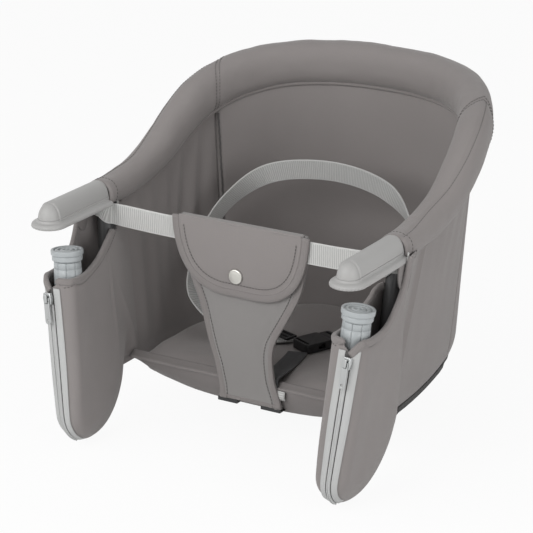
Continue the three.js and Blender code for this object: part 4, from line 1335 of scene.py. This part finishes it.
# %% Zip ribs
coil = [[zip_point(t, a, 1.5) for t in evenly(0.1, 1.0, 160)] for a in (-0.12, 0.12)]
coil += [flipped(line) for line in coil]
ribs = repeated("zip_coil_ribs", rib_group, coil, slot="zip_tape",
                Spacing=0.0012, Length=0.0007, Radius=0.0009, Flatness=0.6, Wobble=0.0)
print("zip ribs:", len(ribs.data.polygons), "faces")


# %% [markdown]
# ### Slider and pull
# The slider's body, its bridge and the hanging pull already have their exact shapes as solids, so
# copies of them are merged, their edges are rounded a little as a casting's are, and the copies
# take over from the plain ones. They stand a little further out, where the soft bag has its zip.

# %% Rounded copies
def polished(node, finish, body, radius, segments=2, shift=0.0):
    """A copy of a plain solid with softly rounded edges, moved outwards by shift millimetres."""
    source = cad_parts[node]
    mesh = source.data.copy()
    mesh.transform(Matrix.Translation((shift * MM, 0, 0)) @ source.matrix_world)
    piece = place(node + "_rounded", mesh)
    with edited(piece, 2e-5) as work:
        bmesh.ops.dissolve_limit(work, angle_limit=math.radians(2), verts=work.verts, edges=work.edges)
    modified(piece, "BEVEL", width=radius * MM, segments=segments, limit_method="ANGLE",
             angle_limit=math.radians(30), harden_normals=True)
    return dressed(piece, finish, body, [node])


ON_THE_RIDGE = 2.7
for side, shift in (("left", -ON_THE_RIDGE), ("right", ON_THE_RIDGE)):
    polished(side + "_zip_slider", zip_metal, side + "_slider", 0.35, shift=shift)
    polished(side + "_zip_pull", zip_metal, side + "_pull", 0.25, shift=shift)
print("sliders and pulls stand", ON_THE_RIDGE, "mm out, on the ridge")

# %% [markdown]
# ## Arm pads
# The pads that lie on the table are soft rubber mouldings: a flat, slightly serrated flange and a
# dome over the rail, with a smooth fillet between them. Both follow the same round-nosed outline,
# so the pad is swept like a lathe, along a long U in place of a circle: every point of the section
# keeps its distance from the outline.

# %% Arm pad
PAD_R, PAD_FRONT, PAD_REAR, ARM_X = 17.5, -89.0, 10.0, 160.0
NOSE_Y = PAD_FRONT + PAD_R
PINCH = {PAD_REAR: 0.8, PAD_REAR - 0.5: 0.25, PAD_REAR - 1.3: 0.0, PAD_REAR - 2.2: 0.0, PAD_REAR - 2.6: 0.55,
         PAD_REAR - 3.0: 0.0, PAD_REAR - 3.6: 0.0}


def pad_section():
    """(distance in from the outline, height), from the middle of the underside to the ridge."""
    points = [(17.5, 0.0), (9, 0.0), (1.4, 0.0), (0.5, 0.25), (0.0, 0.9), (0.0, 2.0), (0.25, 2.6)]
    points += [(0.7, 3.5), (1.6, 4.4), (3.0, 4.9), (4.2, 5.1), (5.0, 5.35), (5.6, 5.9), (6.05, 6.9), (6.3, 8.0)]
    for k in range(1, 19):
        a = math.pi / 2 * k / 18
        w = 11.15 * max(math.cos(a), 0.0) ** 0.9
        points.append((17.5 - w, 5.0 + 17.25 * math.sin(a) ** 0.93))
    return points


def pad_stations():
    """Places along the U: (side, y on the straight part or angle round the nose)."""
    rear = list(PINCH)
    straight = rear + evenly(rear[-1], NOSE_Y + 1.7, 52)[1:] + [NOSE_Y + 0.9, NOSE_Y + 0.5]
    nose = [math.pi * k / 72 for k in range(73)]
    return [(-1, y, None) for y in straight] + [(0, None, a) for a in nose] + [(1, y, None) for y in straight[::-1]]


def pad_point(station, d, z):
    """A point d in from the outline and z up: the rear end is pinched by a groove, the edge serrated."""
    side, y, angle = station
    serration = 0.0
    on_dome = d > 5.6
    if z < 2.2 and d < 1.0:
        s = -y if y is not None else 71.5 + angle * PAD_R
        serration = 0.9 * (0.5 + 0.5 * math.sin(s * 2 * math.pi / 3.5)) * (1.0 if z < 1.5 else 0.4)
    if angle is None:
        pinch = PINCH.get(y, 0.0)
        grow = 0.75 if on_dome and y > NOSE_Y + 0.7 else 0.0
        w = max(PAD_R - d - serration - pinch, 0.0) + (grow if d < 17.4 else 0.0)
        return Vector((side * w, y, max(z + (grow if on_dome else 0.0) - pinch * (1 if z > 3 else 0), 0.0)))
    w = PAD_R - d - serration
    return Vector((-w * math.cos(angle), NOSE_Y - w * math.sin(angle), z))


print("pad section:", len(pad_section()), "points at", len(pad_stations()), "stations")

# %% [markdown]
# The sweep leaves the rear end open, and doubled points along the ridge and the middle of the
# underside. The points are merged and the end is filled, so that the pad is one closed body.

# %% Pad mesh
pad_rows = [[pad_point(station, d, z) for station in pad_stations()] for d, z in pad_section()]
pad = grid("right_table_pad", pad_rows)
with edited(pad, 1e-6) as work:
    bmesh.ops.holes_fill(work, edges=[e for e in work.edges if e.is_boundary], sides=400)
    bmesh.ops.recalc_face_normals(work, faces=work.faces)
moved(pad, Matrix.Translation((ARM_X * MM, 0, 0)))
pair(pad, pad_rubber, ["right_arm_pad"])
print("pad:", len(pad.data.polygons), "faces")

# %% [markdown]
# ## Rail, joints and hook arms
# The steel rail is bent tube. Behind each pad a black plastic knuckle is riveted to it and holds
# the hook arm, a thicker tube that drops, turns under and comes up again with the clamp on its end.
# The arm hangs in its own leaning frame, so the pieces on it are made upright and moved there.

# %% Rail and hook arms
dressed(pipe("rail_tube", rail.spaced(260), 7.0, 24), tube_paint, "seat", ["top_rail"])

LEAN = math.radians(4.5)
JOINT_Y, REACH, BEND_Z, LEG_TOP = 21.0, 67.0, -168.0, -94.0
turn = Matrix.Rotation(LEAN, 4, "Y") @ Matrix.Rotation(-LEAN, 4, "X")
hook_place = Matrix.Translation((ARM_X * MM, JOINT_Y * MM, 0)) @ turn
bend = [Vector((0, -REACH / 2 + REACH / 2 * math.cos(a), BEND_Z - REACH / 2 * math.sin(a)))
        for a in (math.pi * k / 40 for k in range(41))]
down = [Vector((0, 0, z)) for z in evenly(3.0, BEND_Z, 24)[:-1]]
rise = [Vector((0, -REACH, z)) for z in evenly(BEND_Z, LEG_TOP, 16)[1:]]
arm = moved(pipe("right_hook_tube", down + bend + rise, 9.0, 32), hook_place)
pair(arm, tube_paint, ["right_hook_arm"])

for side in ("left", "right"):
    polished(side + "_arm_joint", black_grain, "seat", 1.1, 3)
    polished(side + "_joint_rivet", bright, "seat", 0.5, 3)
    polished(side + "_clamp_bush", clamp_grey, "seat", 0.5, 2)
print("joints rounded")

# %% [markdown]
# ## Twist clamps
# The clamp is a grey moulding in three parts. The foot is a disc with rings moulded in its top and
# a second, narrower tier. The grip below it has broad flats between shallow grooves, so that wet
# fingers can turn it. A steel spindle joins them, with a real thread cut as a helix, and the grip
# is bored through, so that the spindle can rise out of it.

# %% Clamp foot
FOOT = [(0.0, -34.9), (1.0, -34.85), (1.6, -35.5), (2.4, -35.8), (3.4, -35.8), (3.9, -34.8), (6.2, -34.8),
        (6.7, -35.9), (8.3, -35.9), (8.8, -34.75), (11.0, -34.75), (11.5, -35.8), (12.5, -35.8), (13.0, -34.5),
        (14.7, -34.4), (15.3, -34.7), (15.6, -35.3), (15.6, -38.9), (15.3, -39.5), (14.5, -40.0), (14.1, -40.3),
        (14.1, -40.7), (14.55, -41.1), (14.6, -44.2), (14.3, -44.9), (13.6, -45.4), (0.0, -45.4)]
disc = turned("right_foot_disc", rounded(FOOT, 0.35, 2), 96)
moved(disc, hook_place @ Matrix.Translation((0, -REACH * MM, 0)))
pair(disc, clamp_grey, ["right_clamp_foot"], "right_foot")
print("foot:", len(disc.data.polygons), "faces")


# %% Twist grip
GRIP_R, GROOVES, GROOVE_DEPTH, BORE = 13.4, 9, 1.25, 7.9


def grip_row(z, shrink):
    """One height of the grip, shrink in from its flats; the bore has no grooves."""
    depth = GROOVE_DEPTH if shrink < BORE else 0.0
    return circle(lambda a: GRIP_R - shrink - depth * bump(abs(math.sin(a * GROOVES / 2)), 0.15), z, 216)


levels = [(-45.8, BORE), (-45.8, 1.6), (-46.1, 0.9), (-46.8, 0.5), (-52.2, 0.3), (-52.6, 0.65), (-53.2, 0.65),
          (-53.6, 0.1), (-60.0, 0.0), (-70.0, 0.0), (-80.0, 0.0), (-85.8, 0.0), (-86.9, 0.4), (-87.5, 1.2),
          (-87.6, BORE), (-66.0, BORE)]
grip = outward(grid("right_grip_body", [grip_row(z, s) for z, s in levels], wrap=True, loop=True))
moved(grip, hook_place @ Matrix.Translation((0, -REACH * MM, 0)))
pair(grip, clamp_grey, ["right_twist_grip"], "right_grip")
print("grip:", GROOVES, "grooves")


# %% Spindle thread
THREAD_PITCH, THREAD_R, THREAD_DEPTH = 4.0, 5.0, 0.8


def thread_radius(z, a):
    phase = (z / THREAD_PITCH + a / (2 * math.pi)) % 1.0
    return THREAD_R - THREAD_DEPTH * (0.5 - 0.5 * math.cos(2 * math.pi * phase)) ** 1.5


heights = evenly(-115.0, -45.9, 240)
screw = skin("right_screw", [circle(lambda a: thread_radius(z, a), z, 28) for z in heights])
moved(screw, hook_place @ Matrix.Translation((0, -REACH * MM, 0)))
pair(screw, spindle_steel, ["right_clamp_spindle"], "right_foot")
print("screw:", len(screw.data.polygons), "faces")

# %% [markdown]
# ## Straps
# Webbing is a flat band with real thickness. It is swept along its route with its width held in a
# stated direction, and its map runs across and along it, so the ribs follow every turn. The front
# strap loops round each hook joint; the waist belt goes from the cushion up inside the walls and
# round the child.

# %% Band helper
ACROSS = (-1, -0.97, -0.9, -0.45, 0, 0.45, 0.9, 0.97, 1)
SECTION = [(a, -0.3 if abs(a) == 1 else -0.5) for a in ACROSS]
SECTION += [(a, -b) for a, b in SECTION[::-1]]


WEBBING_T = 1.5


def band(name, route, widths, width, steps):
    """A strap along a route; widths are the directions of its width at the route's knots, width
    is a number or a function of the share of the route."""
    rows, knots = [], len(widths) - 1
    for t in evenly(0, 1, steps):
        centre = route.at_knot(t)
        along = (route.at_knot(min(t + 0.002, 1)) - route.at_knot(max(t - 0.002, 0))).normalized()
        k = min(int(t * knots), knots - 1)
        across = Vector(widths[k]).lerp(Vector(widths[k + 1]), t * knots - k)
        across = (across - along * across.dot(along)).normalized()
        face = along.cross(across)
        wide = width(t) if callable(width) else width
        rows.append([centre + across * (a * wide / 2) + face * (b * WEBBING_T) for a, b in SECTION])
    strap = grid(name, rows, wrap=True, caps=True)
    layer = strap.data.uv_layers["UVMap"].data
    full = (width(0.5) if callable(width) else width) * MM
    for polygon in strap.data.polygons:
        if len(polygon.vertices) == 4:
            for loop in polygon.loop_indices:
                corner = strap.data.loops[loop].vertex_index % len(SECTION)
                layer[loop].uv.x = (SECTION[corner][0] + 1) / 2 * full
    return outward(strap)


print("band section:", len(SECTION), "points")

# %% Front strap
STRAP_Z, STRAP_Y, LOOP_R, LOOP_X = -13.0, 19.8, 11.5, 159
LOOP_RISE, LOOP_SLIM = 3.4, 9.0
stations = []
for x in range(0, 148, 7):
    bend = ease((x - 90) / 57)
    stations.append(Vector((x, STRAP_Y - 5.0 * bend, STRAP_Z - 0.9 * math.cos(x / 95) + 3.0 * bend)))
for k in range(33):
    a = math.pi * 1.22 + (math.pi * 1.78 - 0.3) * k / 32
    rise = 3.0 + LOOP_RISE * ease((k + 1) / 7)
    stations.append(Vector((LOOP_X + LOOP_R * math.cos(a), STRAP_Y + LOOP_R * math.sin(a), STRAP_Z + rise)))
strap_route = Route(flipped(stations[:0:-1]) + stations, 900)
LOOP_SHARE = 32 / (2 * (len(stations) - 1))


def strap_width(t):
    """The strap is folded narrower where it loops round the joints."""
    return 22.0 - LOOP_SLIM * ease((LOOP_SHARE + 0.03 - min(t, 1 - t)) / 0.09)


strap = band("front_strap_web", strap_route, [(0, 0, 1)] * 3, strap_width, 560)
dressed(strap, light_web, "seat", ["front_strap"])
print("strap:", len(strap.data.polygons), "faces")

# %% [markdown]
# Outside each joint, the rim's cloth ends in a small rounded tab with a bar of stitches, and the
# edge of the strap's loop shows beside it as a light line.

# %% End tab
TAB = [(-8, -3), (-8.6, -10), (-7, -17), (-3.5, -23), (1, -27.5), (5.5, -28.6), (9.5, -25.5), (12.6, -19.5),
       (15.4, -12), (17, -4), (16.5, 2), (-7, 2)]
TAB_X, TAB_STEPS = 175.4, ((0.9, 0.05), (1.1, 0.5), (1.0, 0.86), (1.5, 0.93), (1.1, 1.0), (0.0, 1.02), (-0.8, 0.97),
                           (-0.9, 0.05))
tab_line = Route([(0, y, z) for y, z in TAB + TAB[:1]], 200).spaced(60)[:-1]
tab_middle = Vector((0, 4, -11))
tab_rows = [[Vector((TAB_X + out, 0, 0)) + tab_middle.lerp(p, grow) for p in tab_line] for out, grow in TAB_STEPS]
pair(skin("right_end_tab", tab_rows), edge_cloth)
loop_edge = [Vector((177.3, 7.5 - k * 0.5, 10 - k * 2.3)) for k in range(11)]
pair(pipe("right_loop_edge", loop_edge, 0.9, 10, squash=0.7), light_web)
print("end tab:", len(tab_rows), "steps of", len(tab_line), "points")

# %% [markdown]
# The waist belt is one long route: out of the buckle, across the cushion, up inside the wall, round
# behind the child and back down. Each knot also says which way the belt's width points there, so
# it lies flat on the cushion and stands on edge round the waist.

# %% Waist belt
BELT = [(-14, 131, SEAT_TOP + 2.4, (-0.63, 0.78, 0)), (-40, 108, SEAT_TOP + 4.5, (-0.5, 0.86, 0)),
        (-78, 97, SEAT_TOP + 17, (-0.1, 0.97, -0.1)), (-108, 99, -113, (0.3, 0.86, -0.36)),
        (-121, 122, -84, (0, 0.83, -0.55)), (-117, 146, -50, (0.1, 0.8, -0.6)),
        (-101, 162, -24, (0.1, 0.6, -0.7)), (-68, 177, 0, (0, 0, -1)), (0, 189, 9, (0, 0, -1)),
        (68, 177, 0, (0, 0, -1)), (101, 162, -24, (-0.1, 0.6, -0.7)), (117, 146, -50, (-0.1, 0.8, -0.6)),
        (121, 126, -90, (0, 0.83, -0.55)), (108, 134, SEAT_TOP + 20, (0.21, 0.78, 0.24)),
        (76, 150, SEAT_TOP + 5.5, (0.35, 0.93, 0.05)), (52, 150, SEAT_TOP + 1.1, (0.2, 0.97, 0)),
        (26, 146.5, SEAT_TOP + 0.85, (0.3, 0.95, 0))]
belt_route = Route([p[:3] for p in BELT], 900)
belt = band("waist_belt_web", belt_route, [p[3] for p in BELT], 20.0, 420)
dressed(belt, belt_web, "seat", ["waist_belt"])
print("belt:", round(belt_route.total[-1]), "mm long")

# %% [markdown]
# A darker web comes up through the seat's front edge, turns over the cushion and holds the socket
# of the buckle.

# %% Crotch webbing
WEB = [(20, 26.9, -175), (20, 26.9, SEAT_TOP - 2.5), (19.9, 28.5, SEAT_TOP + 1.6), (19.5, 36, SEAT_TOP + 2.6),
       (17, 60, SEAT_TOP + 1.6), (12, 90, SEAT_TOP + 1.8), (10, 99, SEAT_TOP + 2.4)]
web = band("crotch_web_band", Route(WEB, 300), [(1, 0, 0)] * 3, 20.0, 120)
dressed(web, dark_web, "seat", ["crotch_web"])
print("crotch web:", len(web.data.polygons), "faces")

# %% [markdown]
# The buckle, the belt's adjuster and the panel's hooks are the plain solids again with softened
# edges. The hooks are squeezed upwards a little, because the soft panel ends above its plain sheet.

# %% Buckle and hooks
HOOK_SQUEEZE = 0.62
for node, body in (("buckle_socket", "seat"), ("buckle_tongue", "buckle_tongue"), ("belt_ladder_lock", "seat"),
                   ("left_panel_hook", "seat"), ("right_panel_hook", "seat")):
    piece = polished(node, black_grain, body, 0.7, 3)
    if "hook" in node:
        top = max(v.co.z for v in piece.data.vertices)
        for v in piece.data.vertices:
            v.co.z = top + (v.co.z - top) * HOOK_SQUEEZE
print("buckle, adjuster and hooks rounded")

# %% [markdown]
# ## Crotch panel and flap
# The panel hangs from the strap between the child's legs and is hooked under the base. It is two
# layers of the shell cloth with a narrow bound edge, wide at the top and drawn in lower down. A
# flap comes over the strap in front of it and closes with a press stud. Both are flat sheets with
# a little slack, so they get slow noise and a rounded fold where they pass over the strap.

# %% Crotch panel
PANEL_STOPS = [(1.2, 69, 20.4), (-8, 70, 20.9), (-26, 68, 20.9), (-56, 61, 21.2), (-86, 48, 21.6), (-114, 37, 22.1),
               (-136, 32.6, 22.5), (-156, 31.6, 22.8), (-178.5, 34, 22.9)]
panel_route = Route([(half, y, z) for z, half, y in PANEL_STOPS], 300)


def panel_point(across, t, lift=0.0):
    """A point of the panel: across from -1 to 1, t down it, lift off its middle surface."""
    p = panel_route.at(t)
    centre = mix(-4, -1.5, clamp(-p.z / 178)) + 3 * ease((-150 - p.z) / 25)
    x = centre - 6.5 * bump(p.z + 118, 30) + across * p.x
    edge = 1 - abs(across)
    slack = noise.noise(Vector((x * 0.03, p.z * 0.02, 3.0))) * 1.1
    draw = 1.3 * bump(abs(across) - 0.72, 0.12) * math.sin(p.z * 0.05 + across) * 0.4
    cup = -1.6 * (1 - across * across) * ease(-p.z / 60) * (1 - ease((-p.z - 130) / 45))
    return Vector((x, p.y + 1.3 + (slack + draw) * min(edge * 5, 1) + cup + lift, p.z))


def two_layers(name, front, behind):
    """Two sheets of points closed into one piece round their edges."""
    return skin(name, [f + b[::-1] for f, b in zip(front, behind)])


front, behind = ([[panel_point(across, t, lift) for across in evenly(-1, 1, 60)] for t in evenly(0, 1, 110)]
                 for lift in (-1.1, 1.1))
panel = two_layers("crotch_panel_cloth", front, behind)
over = Route([(0, 18.6, -1.0), (0, 19.2, 1.3), (0, 21.2, 2.0), (0, 23.2, 1.3), (0, 23.7, -1.5)], 60)
fold_rows = [[Vector((x, p.y, p.z)) for x in evenly(-71, 62, 40)] for p in over.spaced(13)]
fold = thick(outward(grid("crotch_fold", fold_rows)), 0.9)
panel = joined("crotch_panel_cloth", [panel, fold])
dressed(panel, panel_cloth, nodes=["crotch_panel"])
edges = []
for side in (-1, 1):
    line = [panel_point(side, t) for t in evenly(0.03, 1.0, 90)]
    edges.append(bound("panel_edge", line, [Vector((0, -side, 0))] * 91, 7.4, 3.4, 0.6))
low_line = [panel_point(across, 1.0) + Vector((0, 0, 0.5)) for across in evenly(-1, 1, 30)]
edges.append(bound("panel_low_edge", low_line, [Vector((0, 1, 0))] * 31, 4.0, 3.4, 0.5))
dressed(joined("crotch_panel_binding", edges), edge_cloth)
print("panel:", len(panel.data.polygons), "faces")

# %% [markdown]
# The flap's outline is two curves and a straight lower edge, a little narrower on its right. Its
# upper edge ends in a roll, which is the fold it swings on.

# %% Crotch flap
FLAP_T, FLAP_FACE, HINGE_Z = 2.4, 16.3, 0.8
FLAP_LOW = -64.0
flap_line = cubic((-70, 0, HINGE_Z), (-68, 0, -33), (-58, 0, FLAP_LOW), (-16, 0, FLAP_LOW), 40)
flap_line += [Vector((x, 0, FLAP_LOW)) for x in range(-12, 14, 4)]
flap_line += cubic((16, 0, FLAP_LOW), (58, 0, FLAP_LOW), (68, 0, -33), (70, 0, HINGE_Z), 40)
RIGHT_SHARE = 0.95
flap_line = [Vector((p.x * RIGHT_SHARE if p.x > 0 else p.x, 0, p.z)) for p in flap_line]


def flap_y(x, z):
    """The flap's middle surface: it rests on the panel and rides out a little over the stud."""
    sag = noise.noise(Vector((x * 0.035, z * 0.03, 9.0))) * 0.55
    press = -0.5 * math.exp(-(((x + 10) / 16) ** 2 + ((z + 50) / 14) ** 2))
    return FLAP_FACE + FLAP_T / 2 + sag - press * 0.8


def flap_rows(lift):
    """One layer of the flap, row by row, each as wide as the outline there."""
    rows, near = [], [p for p in flap_line if p.x < 0]
    for t in evenly(0, 1, 56):
        z = mix(HINGE_Z, FLAP_LOW, ease(t) * 0.25 + t * 0.75)
        for a, b in zip(near, near[1:]):
            if a.z >= z >= b.z:
                half_width = -mix(a.x, b.x, (a.z - z) / max(a.z - b.z, 1e-6))
                break
        else:
            half_width = 16.0 if z < -56 else 70.0
        across = evenly(-half_width, half_width * RIGHT_SHARE, 56)
        rows.append([Vector((-4 + x, flap_y(x, z) + lift, z)) for x in across])
    return rows


flap = two_layers("crotch_flap_cloth", flap_rows(-0.95), flap_rows(0.95))
roll = pipe("flap_fold", [Vector((x, FLAP_FACE + FLAP_T / 2, HINGE_Z)) for x in range(-73, 62, 2)], 1.2, 20)
flap = joined("crotch_flap_cloth", [flap, roll])
dressed(flap, shell_cloth, "crotch_flap", ["crotch_flap"])
trim_line = [Vector((p.x - 4, flap_y(p.x, p.z), p.z)) for p in flap_line]
trim = bound("crotch_flap_binding", trim_line, [Vector((0, -1, 0))] * len(trim_line), 7.0, 3.0, 0.5)
dressed(trim, edge_cloth, "crotch_flap")
print("flap:", len(flap.data.polygons), "faces")

# %% [markdown]
# Two small things finish the panel: a blank tab of light webbing sewn into its lower right edge,
# and the press stud that closes the flap. The stud's cap is turned about its own axis and then
# laid on the flap.

# %% Sewn tab
sag = [1.2 * math.sin(math.pi * k / 6) for k in range(7)]
tab = grid("sewn_tab", [[Vector((x, 25.4 - sag[k], -160.5 - 9 * k / 6)) for x in (31, 34, 37, 39)] for k in range(7)])
dressed(thick(outward(tab), 0.9), light_web, "seat")
print("sewn tab:", len(tab.data.polygons), "faces")

# %% Press stud
stud = turned("stud_cap", [(0, 2.0), (2.4, 1.95), (4.6, 1.8), (5.4, 1.55), (5.9, 1.6), (6.6, 1.55), (7.2, 1.1),
                           (7.45, 0.4), (7.3, -0.4), (0, -0.4)], 64)
moved(stud, Matrix.Translation((-10 * MM, (FLAP_FACE - 0.2) * MM, -50 * MM)) @ Matrix.Rotation(math.pi / 2, 4, "X"))
dressed(stud, bright, "crotch_flap", ["press_stud_cap"])
polished("press_stud_socket", bright, "seat", 0.3)
print("stud cap:", len(stud.data.polygons), "faces")

# %% [markdown]
# ## Stitching
# Every seam is sewn. The lines are the same curves the cloth was made from, moved a few millimetres
# off the edge and just above the surface, and one node group sets a short thread on each of them.

# %% Seam lines
def seam_lines(side):
    """Two rows of stitches beside the cross seam, and one along the arm."""
    total, rows = rail.total[-1], []
    for shift in (-2.6, 2.6):
        row = []
        for j in list(range(RIM_POINTS)) + [0]:
            u = 0.5 + side * (cross_seam(2 * math.pi * j / RIM_POINTS) + shift) / total
            row.append(rim_ring(u, -0.1)[j])
        rows.append(row)
    arm = []
    for from_middle in evenly(cross_seam(1.1) + 3, (RIM_END - 0.5) * total - 6, 149):
        ring = rim_ring(0.5 + side * from_middle / total, -0.1)
        where = arm_seam(from_middle) / (2 * math.pi) * RIM_POINTS - 1.2
        low = int(where)
        arm.append(ring[low % RIM_POINTS].lerp(ring[(low + 1) % RIM_POINTS], where - low))
    return rows + [arm]


seams = []
for side in (-1, 1):
    seams += seam_lines(side)
    hem = rim_ring(0.5 + side * (RIM_END - 0.5) * 0.975, -0.1)
    seams.append(hem + hem[:1])
repeated("rim_stitches", stitch_group, seams, Spacing=0.0034, Length=0.0025, Radius=0.0004)
print("rim seam lines:", len(seams))


# %% Bag and panel stitches
IN_BAG, IN_PANEL, IN_FLAP, ABOVE_ZIP = 8.0, 8.2, 6.0, 108
bag_lines = [mouth_path(side, IN_BAG, 0.1)[0][:ABOVE_ZIP] for side in (1, -1)]
bag_lines += [flipped(line) for line in bag_lines]
STITCH = {"Spacing": 0.0033, "Length": 0.0025, "Radius": 0.00042}
repeated("pocket_stitches", stitch_group, bag_lines, **STITCH)
down_panel = evenly(0.04, 0.99, 120)
panel_lines = [[panel_point(side * (1 - IN_PANEL / panel_route.at(t).x), t, -1.55) for t in down_panel]
               for side in (-1, 1)]
repeated("panel_stitches", stitch_group, panel_lines, **STITCH)


def inward(line, step):
    """A line in the flap's plane, moved towards its middle."""
    result = []
    for k, p in enumerate(line):
        along = heading(line, k)
        result.append(p + Vector((-along.z, 0, along.x)) * step)
    return result


flap_inner = [Vector((p.x - 4, flap_y(p.x, p.z) - 1.6, p.z)) for p in inward(flap_line, IN_FLAP) if p.z < -7]
flap_seam = repeated("flap_stitches", stitch_group, [flap_inner], "crotch_flap", **STITCH)
print("flap stitches:", len(flap_seam.data.polygons), "faces")


# %% [markdown]

# %% [markdown]
# ## Floor, light and background
# The seat stands on an endless pale floor. A floor lit to pure white would lose the soft shadow,
# so its material is mostly plain white to the camera, with a small share of the real, shadowed
# floor in it. Four round lamps light the seat: a broad one high in front gives the form, weaker
# ones on the left and right fill the sides, and a faint one above picks out the rear rim.

# %% Floor
FLOOR_Z = -0.2245
bpy.ops.mesh.primitive_plane_add(size=14, location=(0, 0, 0))
floor = bpy.context.object
floor.name = "floor"
floor.data.transform(Matrix.Translation((0, 0, FLOOR_Z)))
paper = Finish("white_paper", (0.86, 0.86, 0.86), 0.9, specular=0.1)
path = paper.node("ShaderNodeLightPath", {}, {})
white = paper.node("ShaderNodeEmission", {}, {"Color": (1, 1, 1, 1), "Strength": 1.0})
rays = [Value(paper, path.outputs["Is " + kind + " Ray"]) for kind in ("Camera", "Glossy", "Transmission")]
seen = rays[0].math("MAXIMUM", rays[0].math("MAXIMUM", rays[0], rays[1]), rays[2]) * 0.93
blend = paper.node("ShaderNodeMixShader", {}, {0: seen, 1: paper.shader.outputs[0], 2: white.outputs[0]})
output = [n for n in paper.tree.nodes if n.type == "OUTPUT_MATERIAL"][0]
paper.tree.links.new(blend.outputs[0], output.inputs[0])
floor.data.materials.append(paper.material)
print("floor at", FLOOR_Z, "m")


# %% [markdown]
# The lamps are large and round, so that shadows have soft edges. To the camera and in reflections
# the background is plain white; as a light it is weaker, and comes from all sides.

# %% Background and lamps
world = bpy.data.worlds.new("studio")
bpy.context.scene.world = world
world.use_nodes = True
tree = world.node_tree
sky = tree.nodes["Background"]
sky.inputs["Color"].default_value = (1, 1, 1, 1)
sky.inputs["Strength"].default_value = 0.42
shown = add_node(tree, "ShaderNodeBackground", {}, {"Color": (1, 1, 1, 1), "Strength": 1.0})
ray = add_node(tree, "ShaderNodeLightPath", {}, {})
shows = ray.outputs["Is Camera Ray"]
for kind in ("Glossy", "Transmission"):
    both = {0: shows, 1: ray.outputs["Is " + kind + " Ray"]}
    shows = add_node(tree, "ShaderNodeMath", {"operation": "MAXIMUM"}, both).outputs[0]
pick = add_node(tree, "ShaderNodeMixShader", {}, {0: shows, 1: sky.outputs[0], 2: shown.outputs[0]})
tree.links.new(pick.outputs[0], tree.nodes["World Output"].inputs[0])


def lamp(name, place_at, aim, size, watts):
    """A round lamp, size metres across, that points at its aim."""
    data = bpy.data.lights.new(name, "AREA")
    data.shape = "DISK"
    data.size = size
    data.energy = watts
    light = bpy.data.objects.new(name, data)
    bpy.context.scene.collection.objects.link(light)
    light.location = place_at
    light.rotation_euler = (Vector(aim) - Vector(place_at)).to_track_quat("-Z", "Y").to_euler()
    return light


lamp("key", (-0.2, -1.75, 1.0), (0, 0.05, -0.05), 1.1, 17)
lamp("left", (-1.3, -1.3, 0.9), (0, 0.1, -0.05), 1.2, 8)
lamp("right", (1.75, -0.5, 0.35), (0.1, 0.0, -0.05), 1.2, 11)
lamp("top", (0.0, 0.5, 1.9), (0, 0.1, 0.0), 0.9, 1.5)
